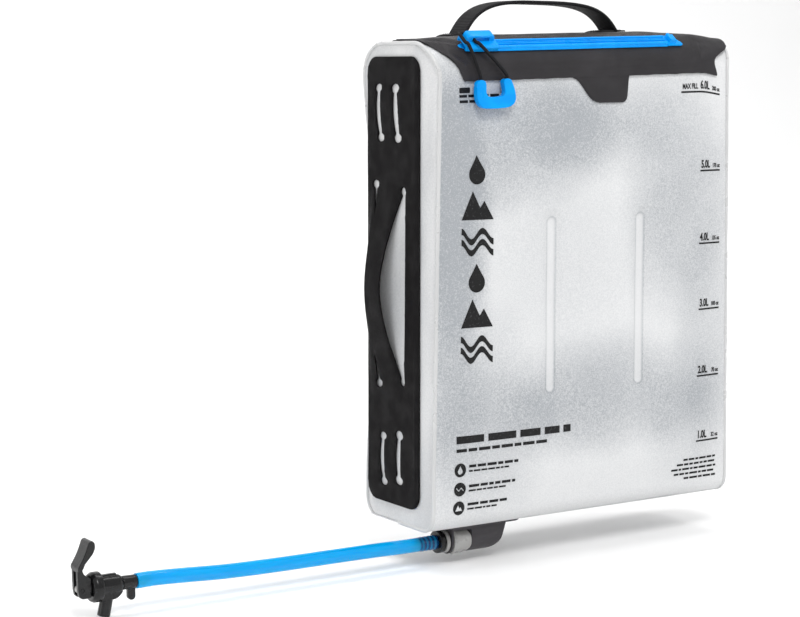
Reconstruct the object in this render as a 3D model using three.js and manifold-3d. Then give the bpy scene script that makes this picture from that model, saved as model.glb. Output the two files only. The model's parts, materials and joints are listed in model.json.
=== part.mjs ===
// Hydration reservoir: a welded film bag with a sealing zip mouth, a webbing handle, side lash panels,
// a quick-release outlet port, a hose and a lever tap. Millimetres, +Z up, front toward -Y.
// The origin is the flat underside of the handle's crown, where the bag hangs.
import * as THREE from "three";
import { mergeVertices } from "three/addons/utils/BufferGeometryUtils.js";
import Module from "manifold-3d";

const wasm = await Module();
wasm.setup();

// ---- driving dimensions, in the bag's own frame: top centre of the film shell at 0, 0, 0 ----
const WIDTH = 270;
const DEPTH = 88;
const HEIGHT = 340.6;
const TOP_RADIUS = 24;
const BOTTOM_RADIUS = 12;
const FILM = 0.8;
const GAP = 0.35;
const BULGE = 4;
const WELD_RADIUS = 1.4;
const RIM_SLOPE = 0.0265;
const CROWN_RISE = 4;

const BAND_THICK = 0.9;
const BAND_OUT = 0.8;
const BAND_FRONT = 60.9;
const BAND_REAR = -58;
const ZIP_LINE = 36.4;
const ZIP_LEFT = -100;
const ZIP_RIGHT = 73;

const BAFFLES = [-34.5, 46];
const BAFFLE_TOP = -125;
const BAFFLE_BOTTOM = -250;

const STRAP_WIDTH = 20;
const STRAP_THICK = 3.2;
const HANDLE_Y = 17;
const HANDLE_APEX = 26.3;
const HANDLE_CENTRE = -4.5;
const HANDLE_FLAT = 9;

const PORT_Y = -16;
const PORT_Z = -354.2;
const PORT_LEFT = -104.6;
const DRAIN_X = -74;
const SOCKET_END = -85;
const SEAT_END = -83.8;

const HOSE_RADIUS = 5;
const HOSE_BORE = 3.3;
const TAP_X = -356.6;
const TAP_Z = -349.6;

const CORD_RADIUS = 1.2;

const HALF_WIDTH = WIDTH / 2;
const HALF_DEPTH = DEPTH / 2;
const HALF_TOP = HALF_DEPTH - TOP_RADIUS;
const TOP_ARC = (TOP_RADIUS * Math.PI) / 2;
const WALL = HEIGHT - TOP_RADIUS - BOTTOM_RADIUS;
const BOTTOM_ARC = (BOTTOM_RADIUS * Math.PI) / 2;
const WALL_START = HALF_TOP + TOP_ARC;
const WALL_END = WALL_START + WALL;
const FLOOR_START = WALL_END + BOTTOM_ARC;
const OUTLINE_END = FLOOR_START + HALF_DEPTH - BOTTOM_RADIUS;
const PANEL_X = HALF_WIDTH - 2.4;

// ---- materials ----
const plastic = (color, roughness = 0.5) => new THREE.MeshStandardMaterial({ color, roughness, metalness: 0 });
const FILM_LOOK = { color: 0xd4d5d6, roughness: 0.35, metalness: 0, transparent: true, opacity: 0.75 };
const film = () => new THREE.MeshStandardMaterial(FILM_LOOK);
const webbing = () => plastic(0x1b1b1d, 0.85);
const coatedFabric = () => plastic(0x232224, 0.6);
const bandFabric = () => plastic(0x434046, 0.6);
const blue = () => plastic(0x1297ee, 0.35);
const black = () => plastic(0x1a1a1c, 0.25);
const charcoal = () => plastic(0x454348, 0.45);
const paleGrey = () => plastic(0xa3a29f, 0.4);
const steel = () => new THREE.MeshStandardMaterial({ color: 0xb9bcc0, roughness: 0.3, metalness: 1 });
const rubber = () => plastic(0x2a2a2c, 0.8);

// ---- geometry helpers ----
const group = new THREE.Group();
const bag = new THREE.Group();
bag.position.set(-HANDLE_CENTRE, -HANDLE_Y, STRAP_THICK / 2 - HANDLE_APEX);
group.add(bag);

function add(name, geometry, material, parent = bag) {
  const mesh = new THREE.Mesh(geometry, material);
  mesh.name = name;
  parent.add(mesh);
  return mesh;
}

const step = (from, to, x) => {
  const t = Math.min(1, Math.max(0, (x - from) / (to - from)));
  return t * t * (3 - 2 * t);
};
const spread = (from, to, count) => Array.from({ length: count + 1 }, (_, i) => from + ((to - from) * i) / count);

function signedVolume(points, faces) {
  let sum = 0;
  const n = new THREE.Vector3();
  for (const [a, b, c] of faces) sum += points[a].dot(n.crossVectors(points[b], points[c]));
  return sum / 6;
}

function closedMesh(points, faces) {
  const out = signedVolume(points, faces) > 0;
  const geometry = new THREE.BufferGeometry();
  geometry.setAttribute("position", new THREE.Float32BufferAttribute(points.flatMap((p) => p.toArray()), 3));
  geometry.setIndex(faces.flatMap(([a, b, c]) => (out ? [a, b, c] : [a, c, b])));
  return geometry;
}

// A sheet with thickness: two grids of points joined around their border and around any cells left open.
function sheet(rows, columns, outer, inner, open = () => false) {
  const points = [];
  for (const side of [outer, inner]) for (const i of rows) for (const j of columns) points.push(side(i, j));
  const n = columns.length;
  const total = rows.length * n;
  const faces = [];
  const edges = new Map();
  const edge = (a, b) => (edges.has(`${b},${a}`) ? edges.delete(`${b},${a}`) : edges.set(`${a},${b}`, [a, b]));
  for (let i = 0; i < rows.length - 1; i++) {
    for (let j = 0; j < n - 1; j++) {
      if (open((rows[i] + rows[i + 1]) / 2, (columns[j] + columns[j + 1]) / 2)) continue;
      const [a, b, c, d] = [i * n + j, i * n + j + 1, (i + 1) * n + j + 1, (i + 1) * n + j];
      faces.push([a, b, c], [a, c, d], [total + a, total + c, total + b], [total + a, total + d, total + c]);
      [[a, b], [b, c], [c, d], [d, a]].forEach(([from, to]) => edge(from, to));
    }
  }
  for (const [a, b] of edges.values()) faces.push([b, a, total + a], [b, total + a, total + b]);
  return closedMesh(points, faces);
}

const circle = (radius, sides) => {
  const shape = new THREE.Shape();
  for (let i = 0; i < sides; i++) {
    const t = (i / sides) * 2 * Math.PI;
    shape[i ? "lineTo" : "moveTo"](radius * Math.cos(t), radius * Math.sin(t));
  }
  return shape;
};

function rod(points, radius, sides, steps, bore = 0) {
  const section = circle(radius, sides);
  if (bore) section.holes.push(circle(bore, sides));
  const extrudePath = points instanceof THREE.Curve ? points : new THREE.CatmullRomCurve3(points);
  return new THREE.ExtrudeGeometry(section, { steps, extrudePath });
}

// A turned piece: its profile is pairs of axial place and radius, and its axis becomes `axis`.
function turned(profile, axis, sides = 20) {
  const line = profile.map(([along, r]) => new THREE.Vector2(r, along));
  if (THREE.ShapeUtils.area(line) < 0) line.reverse();
  const geometry = new THREE.LatheGeometry(line, sides);
  geometry.applyQuaternion(new THREE.Quaternion().setFromUnitVectors(new THREE.Vector3(0, 1, 0), axis));
  return geometry;
}

function polygon(points) {
  return new THREE.Shape(points.map(([x, y]) => new THREE.Vector2(x, y)));
}

// An outline in X and Z pushed along Y, centred on y = 0.
function slabY(shape, thick, curveSegments = 6) {
  const geometry = new THREE.ExtrudeGeometry(shape, { depth: thick, bevelEnabled: false, curveSegments });
  return geometry.translate(0, 0, -thick / 2).rotateX(Math.PI / 2);
}

// An outline in Y and Z pushed along X from x = 0.
function slabX(shape, length, curveSegments = 6) {
  const geometry = new THREE.ExtrudeGeometry(shape, { depth: length, bevelEnabled: false, curveSegments });
  return geometry.rotateY(Math.PI / 2).rotateX(Math.PI / 2);
}

function roundedRect(x0, y0, x1, y1, r) {
  const s = new THREE.Shape();
  s.moveTo(x0 + r, y0);
  s.lineTo(x1 - r, y0);
  s.absarc(x1 - r, y0 + r, r, -Math.PI / 2, 0);
  s.lineTo(x1, y1 - r);
  s.absarc(x1 - r, y1 - r, r, 0, Math.PI / 2);
  s.lineTo(x0 + r, y1);
  s.absarc(x0 + r, y1 - r, r, Math.PI / 2, Math.PI);
  s.lineTo(x0, y0 + r);
  s.absarc(x0 + r, y0 + r, r, Math.PI, 1.5 * Math.PI);
  return s;
}

function solid(geometry) {
  const bare = geometry.clone();
  bare.deleteAttribute("normal");
  bare.deleteAttribute("uv");
  const merged = mergeVertices(bare, 1e-4);
  const triVerts = new Uint32Array(merged.index.array);
  return new wasm.Manifold(new wasm.Mesh({ numProp: 3, vertProperties: merged.attributes.position.array, triVerts }));
}

function fromSolid(made) {
  const mesh = made.getMesh();
  const geometry = new THREE.BufferGeometry();
  geometry.setAttribute("position", new THREE.Float32BufferAttribute(mesh.vertProperties, 3));
  geometry.setIndex([...mesh.triVerts]);
  return geometry;
}

const join = (first, ...rest) => fromSolid(rest.reduce((sum, g) => sum.add(solid(g)), solid(first)));
const cut = (first, ...rest) => fromSolid(rest.reduce((left, g) => left.subtract(solid(g)), solid(first)));
const box = (x0, x1, y0, y1, z0, z1) =>
  new THREE.BoxGeometry(x1 - x0, y1 - y0, z1 - z0).translate((x0 + x1) / 2, (y0 + y1) / 2, (z0 + z1) / 2);

function spring(from, axis, length, coilRadius, wireRadius, turns) {
  const helix = new (class extends THREE.Curve {
    getPoint(t, target = new THREE.Vector3()) {
      const a = 2 * Math.PI * turns * t;
      return target.set(coilRadius * Math.cos(a), length * t, coilRadius * Math.sin(a));
    }
  })();
  const geometry = new THREE.ExtrudeGeometry(circle(wireRadius, 5), { steps: turns * 9, extrudePath: helix });
  geometry.applyQuaternion(new THREE.Quaternion().setFromUnitVectors(new THREE.Vector3(0, 1, 0), axis));
  return geometry.translate(from.x, from.y, from.z);
}

const X_AXIS = new THREE.Vector3(1, 0, 0);
const Y_AXIS = new THREE.Vector3(0, 1, 0);

// ---- the film shell ----
// The side outline, walked from the middle of its top (0) over the front shoulder and down to the middle of
// its bottom; a negative walk goes down the rear. Gives the place and the outward direction.
function outline(walk) {
  const s = Math.abs(walk);
  let y = -s;
  let z = 0;
  let ny = 0;
  let nz = 1;
  if (s > FLOOR_START) {
    y = s - OUTLINE_END;
    z = -HEIGHT;
    nz = -1;
  } else if (s > WALL_END) {
    const t = (s - WALL_END) / BOTTOM_RADIUS;
    y = -HALF_DEPTH + BOTTOM_RADIUS * (1 - Math.cos(t));
    z = BOTTOM_RADIUS - HEIGHT - BOTTOM_RADIUS * Math.sin(t);
    ny = -Math.cos(t);
    nz = -Math.sin(t);
  } else if (s > WALL_START) {
    y = -HALF_DEPTH;
    z = -TOP_RADIUS - (s - WALL_START);
    ny = -1;
    nz = 0;
  } else if (s > HALF_TOP) {
    const t = (s - HALF_TOP) / TOP_RADIUS;
    y = -HALF_TOP - TOP_RADIUS * Math.sin(t);
    z = -TOP_RADIUS * (1 - Math.cos(t));
    ny = -Math.sin(t);
    nz = Math.cos(t);
  }
  const side = walk < 0 ? -1 : 1;
  return { y: y * side, z, ny: ny * side, nz };
}

// How far the pull of the handle and the sewn zip lift the top of the bag.
function rise(x, walk, z) {
  const rim = RIM_SLOPE * x * step(-70, -25, z);
  const middle = 1 - step(70, 120, Math.abs(x - HANDLE_CENTRE));
  const rear = walk > 0 ? 1 - step(8, 26, walk) : step(-57, -30, walk);
  return rim + CROWN_RISE * middle * rear;
}

// The water's push between the welded corners and the two inner webs.
function puff(x, z) {
  const across = 1 - (x / HALF_WIDTH) ** 4;
  const down = step(-40, -95, z) * step(4 - HEIGHT, 44 - HEIGHT, z);
  const tied = step(BAFFLE_BOTTOM - 8, BAFFLE_BOTTOM + 4, z) * (1 - step(BAFFLE_TOP - 4, BAFFLE_TOP + 8, z));
  const held = BAFFLES.reduce((sum, b) => sum + Math.exp(-(((x - b) / 8) ** 2)), 0);
  return BULGE * across * down * (1 - Math.min(1, held) * tied);
}

function skin(x, walk, out) {
  const o = outline(walk);
  const off = out + puff(x, o.z);
  return new THREE.Vector3(x, o.y + o.ny * off, o.z + o.nz * off + rise(x, walk, o.z));
}

const onSkin = (out) => (x, walk) => skin(x, walk, out);
const WEB_COLUMNS = BAFFLES.flatMap((b) => [b - 13, b - 6, b, b + 6, b + 13]);

function wallPanel(side) {
  const columns = [-PANEL_X, -124, -104, -78, ...WEB_COLUMNS.slice(0, 5), 4, ...WEB_COLUMNS.slice(5)];
  columns.push(86, 108, 124, PANEL_X);
  const rows = [46, 52, 60, 78, 104, 140, 157, 164, 206, 248, 284, 292, 318, 342, 358, 364, 371];
  return sheet(columns, rows.map((s) => s * side), onSkin(0), onSkin(-FILM));
}

function floorPanel() {
  const columns = [-PANEL_X, -120, DRAIN_X - 14, DRAIN_X - 4, DRAIN_X + 4, DRAIN_X + 14, -20, 40, 90, PANEL_X];
  const walks = [-31.5, -27, PORT_Y - 4, PORT_Y + 4, 0, 16, 27, 31.5];
  const place = (out) => (x, y) => new THREE.Vector3(x, y, -HEIGHT - out);
  const drain = (x, y) => Math.abs(x - DRAIN_X) < 4 && Math.abs(y - PORT_Y) < 4;
  return sheet(columns, walks, place(0), place(-FILM), drain);
}

// A side gusset fills the outline inside its weld, and dishes in a little behind the lash panel.
function sidePanel(side) {
  const inset = 2.7;
  const low = BOTTOM_RADIUS - HEIGHT;
  const rows = [-3.2, -6, -11, -17, -TOP_RADIUS, -45, -80, -120, -160, -200, -240, -280, -310, low, -333, -337.2];
  const halfAt = (z) => {
    const up = Math.max(0, z + TOP_RADIUS);
    const down = Math.max(0, low - z);
    if (up) return HALF_TOP + Math.sqrt(Math.max(0, (TOP_RADIUS - inset) ** 2 - up ** 2));
    const turn = (BOTTOM_RADIUS - inset) ** 2 - down ** 2;
    return HALF_DEPTH - BOTTOM_RADIUS + Math.sqrt(Math.max(0, turn));
  };
  const dish = (u, z) => 6 * (1 - u * u) ** 2 * step(-20, -110, z) * step(20 - HEIGHT, 110 - HEIGHT, z);
  const place = (out) => (z, u) =>
    new THREE.Vector3(
      side * (HALF_WIDTH - 0.6 - dish(u, z) + out),
      u * halfAt(z),
      z + RIM_SLOPE * side * HALF_WIDTH * step(-70, -25, z),
    );
  return sheet(rows, [-1, -0.8, -0.5, -0.15, 0.2, 0.55, 0.82, 1], place(0), place(-FILM));
}

// The welded edge runs down the front, under the floor and up the rear of each side.
function sideWeld(side) {
  const x = side * (HALF_WIDTH - 0.6);
  const half = OUTLINE_END - 1;
  const loop = new (class extends THREE.Curve {
    getPoint(t, target = new THREE.Vector3()) {
      const walk = 1 + 2 * half * t;
      const o = walk > OUTLINE_END ? outline(walk - 2 * OUTLINE_END) : outline(walk);
      return target.set(x, o.y, o.z + RIM_SLOPE * x * step(-70, -25, o.z));
    }
  })();
  return rod(loop, WELD_RADIUS, 6, 60);
}

function floorWeld(side) {
  const o = outline(side * 375.6);
  const ends = [-1, 1].map((end) => new THREE.Vector3(end * (PANEL_X - 0.6), o.y, o.z));
  return rod(new THREE.LineCurve3(...ends), WELD_RADIUS, 6, 1);
}

function web(x) {
  return box(x - FILM / 2, x + FILM / 2, 1.4 - HALF_DEPTH, HALF_DEPTH - 1.4, BAFFLE_BOTTOM, BAFFLE_TOP);
}

add("front_panel", wallPanel(1), film());
add("back_panel", wallPanel(-1), film());
add("floor_panel", floorPanel(), film());
add("gusset_left", sidePanel(-1), film());
add("gusset_right", sidePanel(1), film());
add("weld_left", sideWeld(-1), film());
add("weld_right", sideWeld(1), film());
add("weld_front_bottom", floorWeld(1), film());
add("weld_back_bottom", floorWeld(-1), film());
BAFFLES.forEach((x, i) => add(`inner_web_${["left", "right"][i]}`, web(x), film()));

// ---- the closure band over the mouth ----
// Its lower front edge sweeps up to a tail at the left, and its right end stands off over the corner weld.
// Each row is a share of the way from the zip's slit to the front edge, or to the rear edge when negative.
const SLIT_SHARE = 0.0099;
const SLIT_HALF = 2;
function closureBand() {
  const tail = (x) => 13 * (1 - step(-131, -106, x)) ** 1.4;
  const lowest = (x) => BAND_FRONT - 1.7 * tail(x) - 4 * step(118, 136, x);
  const lift = (x) => 2.2 * step(122, 130, x);
  const shape = (extra) => (x, u) => {
    const rear = BAND_REAR + 14 * (1 - step(-131, -112, x)) + 14 * step(118, 136, x);
    const front = ZIP_LINE + SLIT_HALF + (lowest(x) - ZIP_LINE - SLIT_HALF) * u;
    const back = ZIP_LINE - SLIT_HALF + (ZIP_LINE - SLIT_HALF - rear) * u;
    const atSlit = Math.abs(u) <= SLIT_SHARE;
    const walk = atSlit ? ZIP_LINE + SLIT_HALF * Math.sign(u) : u > 0 ? front : back;
    return skin(x, walk, BAND_OUT + lift(x) + extra);
  };
  const columns = [-131, -126, -120, -113, -106, ZIP_LEFT + 2, -80, -55, -30, -4, 22, 48, 66, ZIP_RIGHT - 2];
  columns.push(100, 112, 119, 124, 128, 132, 137);
  const walks = [-1, -0.93, -0.86, -0.79, -0.72, -0.65, -0.58, -0.37, -0.16, -0.08, -SLIT_SHARE];
  walks.push(SLIT_SHARE, 0.26, 0.5, 0.75, 1);
  const mouth = (x, u) => Math.abs(u) < SLIT_SHARE / 2 && x > ZIP_LEFT + 2 && x < ZIP_RIGHT - 2;
  return sheet(columns, walks, shape(BAND_THICK), shape(0), mouth);
}

function pullTab() {
  const s = new THREE.Shape();
  const top = -28;
  s.moveTo(-16, top);
  s.bezierCurveTo(-6, top - 2, -4, top - 17, 8, top - 17.4);
  s.lineTo(27, top - 17.4);
  s.quadraticCurveTo(32.5, top - 17.4, 32.8, top - 11);
  s.lineTo(34, top);
  return slabY(s, 1, 5).translate(0, -HALF_DEPTH - GAP - 0.6, 0);
}

add("closure_band", closureBand(), bandFabric());
add("pull_tab", pullTab(), bandFabric());

// ---- the sealing zip, in a frame that lies on the front shoulder: X along it, Y up the slope, Z outward ----
const shoulder = outline(ZIP_LINE);
const rim = new THREE.Group();
rim.position.set(0, shoulder.y, shoulder.z);
rim.rotation.y = -Math.asin(RIM_SLOPE);
bag.add(rim);
const zip = new THREE.Group();
zip.rotation.x = Math.atan2(-shoulder.ny, shoulder.nz);
rim.add(zip);

const TRACK_BASE = BAND_OUT + BAND_THICK + GAP;
const TRACK_HALF = 4.4;
const TRACK_TOP = TRACK_BASE + 2.9;

function zipTrack(side) {
  const section = [
    [0.15, 0], [5.8, 0], [5.8, 0.8], [TRACK_HALF, 0.9], [TRACK_HALF, 2.1], [3.8, 2.7], [2.7, 2.8],
    [2.3, 2.4], [1.6, 2.4], [1.2, 2.9], [0.15, 2.9],
  ];
  const shape = polygon(section.map(([y, z]) => [side * y, TRACK_BASE + z]));
  return slabX(shape, ZIP_RIGHT - ZIP_LEFT).translate(ZIP_LEFT, 0, 0);
}

function zipStop() {
  const base = new THREE.Shape();
  base.moveTo(0, -5.4);
  base.lineTo(12.5, -5.6);
  base.quadraticCurveTo(15, -5.4, 13.6, -2.4);
  base.lineTo(9, 4);
  base.quadraticCurveTo(7, 5.4, 4, 5.4);
  base.lineTo(0, 5.4);
  const foot = new THREE.ExtrudeGeometry(base, { depth: 1.5, bevelEnabled: false, curveSegments: 4 });
  return join(
    foot.translate(ZIP_RIGHT + GAP, 0, TRACK_BASE),
    box(ZIP_RIGHT + 2, ZIP_RIGHT + 8.5, -3.6, 3.6, TRACK_BASE + 1, TRACK_BASE + 4),
    box(ZIP_RIGHT + 2, ZIP_RIGHT + 4.6, -3.6, 3.6, TRACK_BASE + 1, TRACK_BASE + 5.2),
  );
}

function zipTail() {
  const s = polygon([[0, -4], [0, 4], [-5, 3.2], [-8.6, 1.2], [-8.6, -1.2], [-5, -3.2]]);
  const geometry = new THREE.ExtrudeGeometry(s, { depth: 0.8, bevelEnabled: false });
  return geometry.translate(ZIP_LEFT - GAP, 0, TRACK_BASE);
}

// The slider clips over both tracks and carries a bridge whose left leg holds the cord.
const SLIDER_LEFT = -107;
const SLIDER_LENGTH = 27;
const LEG = 4.2;
const DECK = TRACK_BASE + 5;
const BRIDGE_BACK = 5.4;
const BRIDGE_FRONT = -1;

function zipSlider() {
  const lip = TRACK_BASE + 1.3;
  const inner = TRACK_HALF + 0.4;
  const roof = TRACK_TOP + GAP;
  const section = polygon([
    [-6.6, lip], [-inner, lip], [-inner, roof], [inner, roof], [inner, lip], [6.6, lip],
    [6.6, DECK - 0.8], [5.8, DECK], [-5.4, DECK], [-6.6, DECK - 1.2],
  ]);
  const body = slabX(section, SLIDER_LENGTH).translate(SLIDER_LEFT, 0, 0);
  const arch = new THREE.Shape();
  arch.moveTo(1.5, DECK - 0.5);
  arch.lineTo(2.6, DECK + 3.4);
  arch.quadraticCurveTo(3, DECK + 4.8, 5, DECK + 4.8);
  arch.lineTo(22, DECK + 4.8);
  arch.quadraticCurveTo(24, DECK + 4.8, 24.4, DECK + 3.4);
  arch.lineTo(25.5, DECK - 0.5);
  arch.lineTo(21, DECK - 0.5);
  arch.lineTo(20.6, DECK + 3.1);
  arch.lineTo(LEG + 2.6, DECK + 3.1);
  arch.lineTo(LEG + 2.6, DECK - 0.5);
  const width = BRIDGE_BACK - BRIDGE_FRONT;
  const bridge = slabY(arch, width, 3).translate(SLIDER_LEFT, (BRIDGE_BACK + BRIDGE_FRONT) / 2, 0);
  return join(body, bridge);
}

const CORD_Z = DECK + CORD_RADIUS + 0.35;
const CORD_AXIS_Y = BRIDGE_FRONT - CORD_RADIUS - 0.6;
const LOOP_END_Y = BRIDGE_FRONT - 0.3;
const LEG_LEFT = SLIDER_LEFT + 1.2;
const LEG_RIGHT = SLIDER_LEFT + LEG + 2.6;
const CORD_LEFT = LEG_LEFT - CORD_RADIUS - 0.3;
const CORD_RIGHT = LEG_RIGHT + CORD_RADIUS + 0.4;

// The cord's loop behind the bridge's left leg, whose two ends come forward on each side of it.
function cordLoop() {
  const back = BRIDGE_BACK + CORD_RADIUS + 0.4;
  const turn = 2.2;
  const path = new THREE.CurvePath();
  const p = (x, y) => new THREE.Vector3(x, y, CORD_Z);
  path.add(new THREE.LineCurve3(p(CORD_LEFT, LOOP_END_Y), p(CORD_LEFT, back - turn)));
  path.add(new THREE.QuadraticBezierCurve3(p(CORD_LEFT, back - turn), p(CORD_LEFT, back), p(CORD_LEFT + turn, back)));
  path.add(new THREE.LineCurve3(p(CORD_LEFT + turn, back), p(CORD_RIGHT - turn, back)));
  path.add(new THREE.QuadraticBezierCurve3(p(CORD_RIGHT - turn, back), p(CORD_RIGHT, back), p(CORD_RIGHT, back - turn)));
  path.add(new THREE.LineCurve3(p(CORD_RIGHT, back - turn), p(CORD_RIGHT, LOOP_END_Y)));
  return rod(path, CORD_RADIUS, 8, 18);
}

add("zip_track_upper", zipTrack(1), blue(), zip);
add("zip_track_lower", zipTrack(-1), blue(), zip);
add("zip_end_stop", zipStop(), blue(), zip);
add("zip_end_tail", zipTail(), blue(), zip);
add("zip_slider", zipSlider(), blue(), zip);
add("pull_cord_loop", cordLoop(), webbing(), zip);

// ---- the pull: two strands down to a U-shaped grip that lies against the band ----
const GRIP = { x: -88.5, y: -HALF_DEPTH - 5.6, z: -38.4, lean: 0.05 };
const ARM = 10.6;
const ARM_TOP = 9.5;

bag.updateMatrixWorld(true);
const toBag = (point) => bag.worldToLocal(zip.localToWorld(point));
const inGrip = (x, z) => {
  const c = Math.cos(GRIP.lean);
  const s = Math.sin(GRIP.lean);
  return new THREE.Vector3(GRIP.x + c * x - s * z, GRIP.y, GRIP.z + s * x + c * z);
};

// A strand clears the slider's front edge, then drops to the grip's arm.
function strand(x, arm) {
  const top = toBag(new THREE.Vector3(x, CORD_AXIS_Y, CORD_Z));
  const edge = toBag(new THREE.Vector3(x + 0.12 * (arm - x + GRIP.x), -7.6, CORD_Z - 0.1));
  const near = inGrip(arm, ARM_TOP + 4);
  const end = inGrip(arm, ARM_TOP + 2 * GAP);
  return rod([top, edge, near, end], CORD_RADIUS, 8, 10);
}

function gripShape() {
  const s = new THREE.Shape();
  s.moveTo(-14.4, ARM_TOP);
  s.bezierCurveTo(-15, 2, -16.5, -9, -8, -9.6);
  s.lineTo(9, -9.6);
  s.bezierCurveTo(20, -9.4, 18, 0, 14.4, ARM_TOP);
  s.lineTo(7, ARM_TOP);
  s.bezierCurveTo(9, 2, 9.5, -2.6, 5, -2.8);
  s.lineTo(-4.5, -2.8);
  s.bezierCurveTo(-8, -2.6, -7.2, 2, -6.8, ARM_TOP);
  return s;
}

function pullGrip() {
  const bevel = { bevelEnabled: true, bevelThickness: 1.1, bevelSize: 0.9, bevelOffset: -0.9, bevelSegments: 2 };
  const geometry = new THREE.ExtrudeGeometry(gripShape(), { depth: 3, curveSegments: 6, ...bevel });
  geometry.translate(0, 0, -1.5).rotateX(Math.PI / 2).rotateY(-GRIP.lean);
  return geometry.translate(GRIP.x, GRIP.y, GRIP.z);
}

add("pull_cord_left", strand(CORD_LEFT, -ARM), webbing());
add("pull_cord_right", strand(CORD_RIGHT, ARM), webbing());
add("pull_grip", pullGrip(), blue());

// ---- the webbing handle on the rear of the top ----
const FOOT_LEFT = -71;
const FOOT_RIGHT = 62.5;
const FLEX = 14;
const PATCH_THICK = 1.4;
const seatAt = (x) => skin(x, -HANDLE_Y, 0).z;

// The crown is straight and level, and a rounded shoulder runs from it down to each foot.
function handleArch() {
  const path = new THREE.CurvePath();
  const roundness = 0.62;
  const steepness = 0.72;
  const p = (x, z) => new THREE.Vector3(x, HANDLE_Y, z);
  const overPatch = BAND_OUT + BAND_THICK + PATCH_THICK + 2 * GAP + 1;
  const left = p(FOOT_LEFT, seatAt(FOOT_LEFT) + overPatch);
  const right = p(FOOT_RIGHT, seatAt(FOOT_RIGHT) + overPatch);
  const a = p(HANDLE_CENTRE - HANDLE_FLAT, HANDLE_APEX);
  const b = p(HANDLE_CENTRE + HANDLE_FLAT, HANDLE_APEX);
  const bend = (foot, crown) => [
    p(foot.x + (crown.x - foot.x) * 0.17, foot.z + (crown.z - foot.z) * steepness),
    p(crown.x - (crown.x - foot.x) * roundness, crown.z),
  ];
  path.add(new THREE.CubicBezierCurve3(left, ...bend(left, a), a));
  path.add(new THREE.LineCurve3(a, b));
  path.add(new THREE.CubicBezierCurve3(b, ...bend(right, b).reverse(), right));
  return path;
}

function ribbon(path, stations) {
  const place = (side) => (t, w) => {
    const point = path.getPointAt(t);
    const along = path.getTangentAt(t);
    return new THREE.Vector3(point.x - side * along.z, point.y + w, point.z + side * along.x);
  };
  return sheet(stations, [-STRAP_WIDTH / 2, STRAP_WIDTH / 2], place(STRAP_THICK / 2), place(-STRAP_THICK / 2));
}

const arch = handleArch();
const archLength = arch.getLength();
const [leftSpan, crownSpan] = arch.curves.map((c) => c.getLength() / archLength);
const flex = FLEX / archLength;
const skipGap = GAP / archLength;
const LEFT_STATIONS = spread(flex + skipGap, leftSpan, 9);
const RIGHT_STATIONS = spread(leftSpan + crownSpan, 1 - flex - skipGap, 9);

function anchor(x) {
  const place = (out) => (at, walk) => skin(at, walk, out);
  const base = BAND_OUT + BAND_THICK + GAP;
  return sheet(spread(x - 13, x + 13, 4), spread(-30, -5, 5), place(base + PATCH_THICK), place(base));
}

add("handle_strap", ribbon(arch, [...LEFT_STATIONS, ...RIGHT_STATIONS]), webbing());
add("handle_foot_left", ribbon(arch, [0, flex / 2, flex]), webbing());
add("handle_foot_right", ribbon(arch, [1 - flex, 1 - flex / 2, 1]), webbing());
add("handle_anchor_left", anchor(FOOT_LEFT), coatedFabric());
add("handle_anchor_right", anchor(FOOT_RIGHT), coatedFabric());

// ---- the side lash panels ----
const LASH = { back: 37, front: -29, top: -13, bottom: -327.6, thick: 1.3, round: 11 };

// A slit with round ends, bowed sideways by `bow`; it is `end` across at its ends and `wide` in the middle.
function slit(y0, z0, y1, z1, bow, wide = 4.4) {
  const hole = new THREE.Path();
  const end = 4.2;
  const mid = (y0 + y1) / 2 + bow;
  hole.moveTo(y0 + end / 2, z0);
  hole.absarc(y0, z0, end / 2, 0, Math.PI);
  hole.quadraticCurveTo(2 * (mid - wide / 2) - (y0 + y1 - end) / 2, (z0 + z1) / 2, y1 - end / 2, z1);
  hole.absarc(y1, z1, end / 2, Math.PI, 2 * Math.PI);
  hole.quadraticCurveTo(2 * (mid + wide / 2) - (y0 + y1 + end) / 2, (z0 + z1) / 2, y0 + end / 2, z0);
  return hole;
}

// The long carry slot: straight along the front, curved where the strap strip is drawn back.
function carrySlot() {
  const hole = new THREE.Path();
  hole.moveTo(-8.5, -104);
  hole.absarc(-10.2, -103.4, 1.8, 0, Math.PI);
  hole.lineTo(-11.4, -170);
  hole.lineTo(-10.8, -240);
  hole.absarc(-9, -240.8, 1.8, Math.PI, 2 * Math.PI);
  hole.quadraticCurveTo(5, -213, 16, -190);
  hole.quadraticCurveTo(19, -180, 16.5, -165);
  hole.quadraticCurveTo(12, -132, -8.5, -104);
  return hole;
}

function lashPanel(side) {
  const outlineShape = roundedRect(LASH.front, LASH.bottom, LASH.back, LASH.top, LASH.round);
  outlineShape.holes.push(slit(22.6, -32, 19.4, -71.5, 4));
  outlineShape.holes.push(slit(1.4, -32.4, -2.2, -71.5, 3));
  outlineShape.holes.push(slit(25.5, -101.5, 25, -119, 0.5, 3.4));
  outlineShape.holes.push(slit(25, -224, 21, -244, 0.5, 3.4));
  outlineShape.holes.push(slit(17, -278, 15.8, -315.6, 4));
  outlineShape.holes.push(slit(-4, -274.5, -3.4, -312, 3));
  outlineShape.holes.push(carrySlot());
  const geometry = slabX(outlineShape, LASH.thick, 3);
  return geometry.translate(side > 0 ? HALF_WIDTH - 0.2 : 0.2 - HALF_WIDTH - LASH.thick, 0, 0);
}

add("lash_panel_left", lashPanel(-1), coatedFabric());
add("lash_panel_right", lashPanel(1), coatedFabric());

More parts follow.
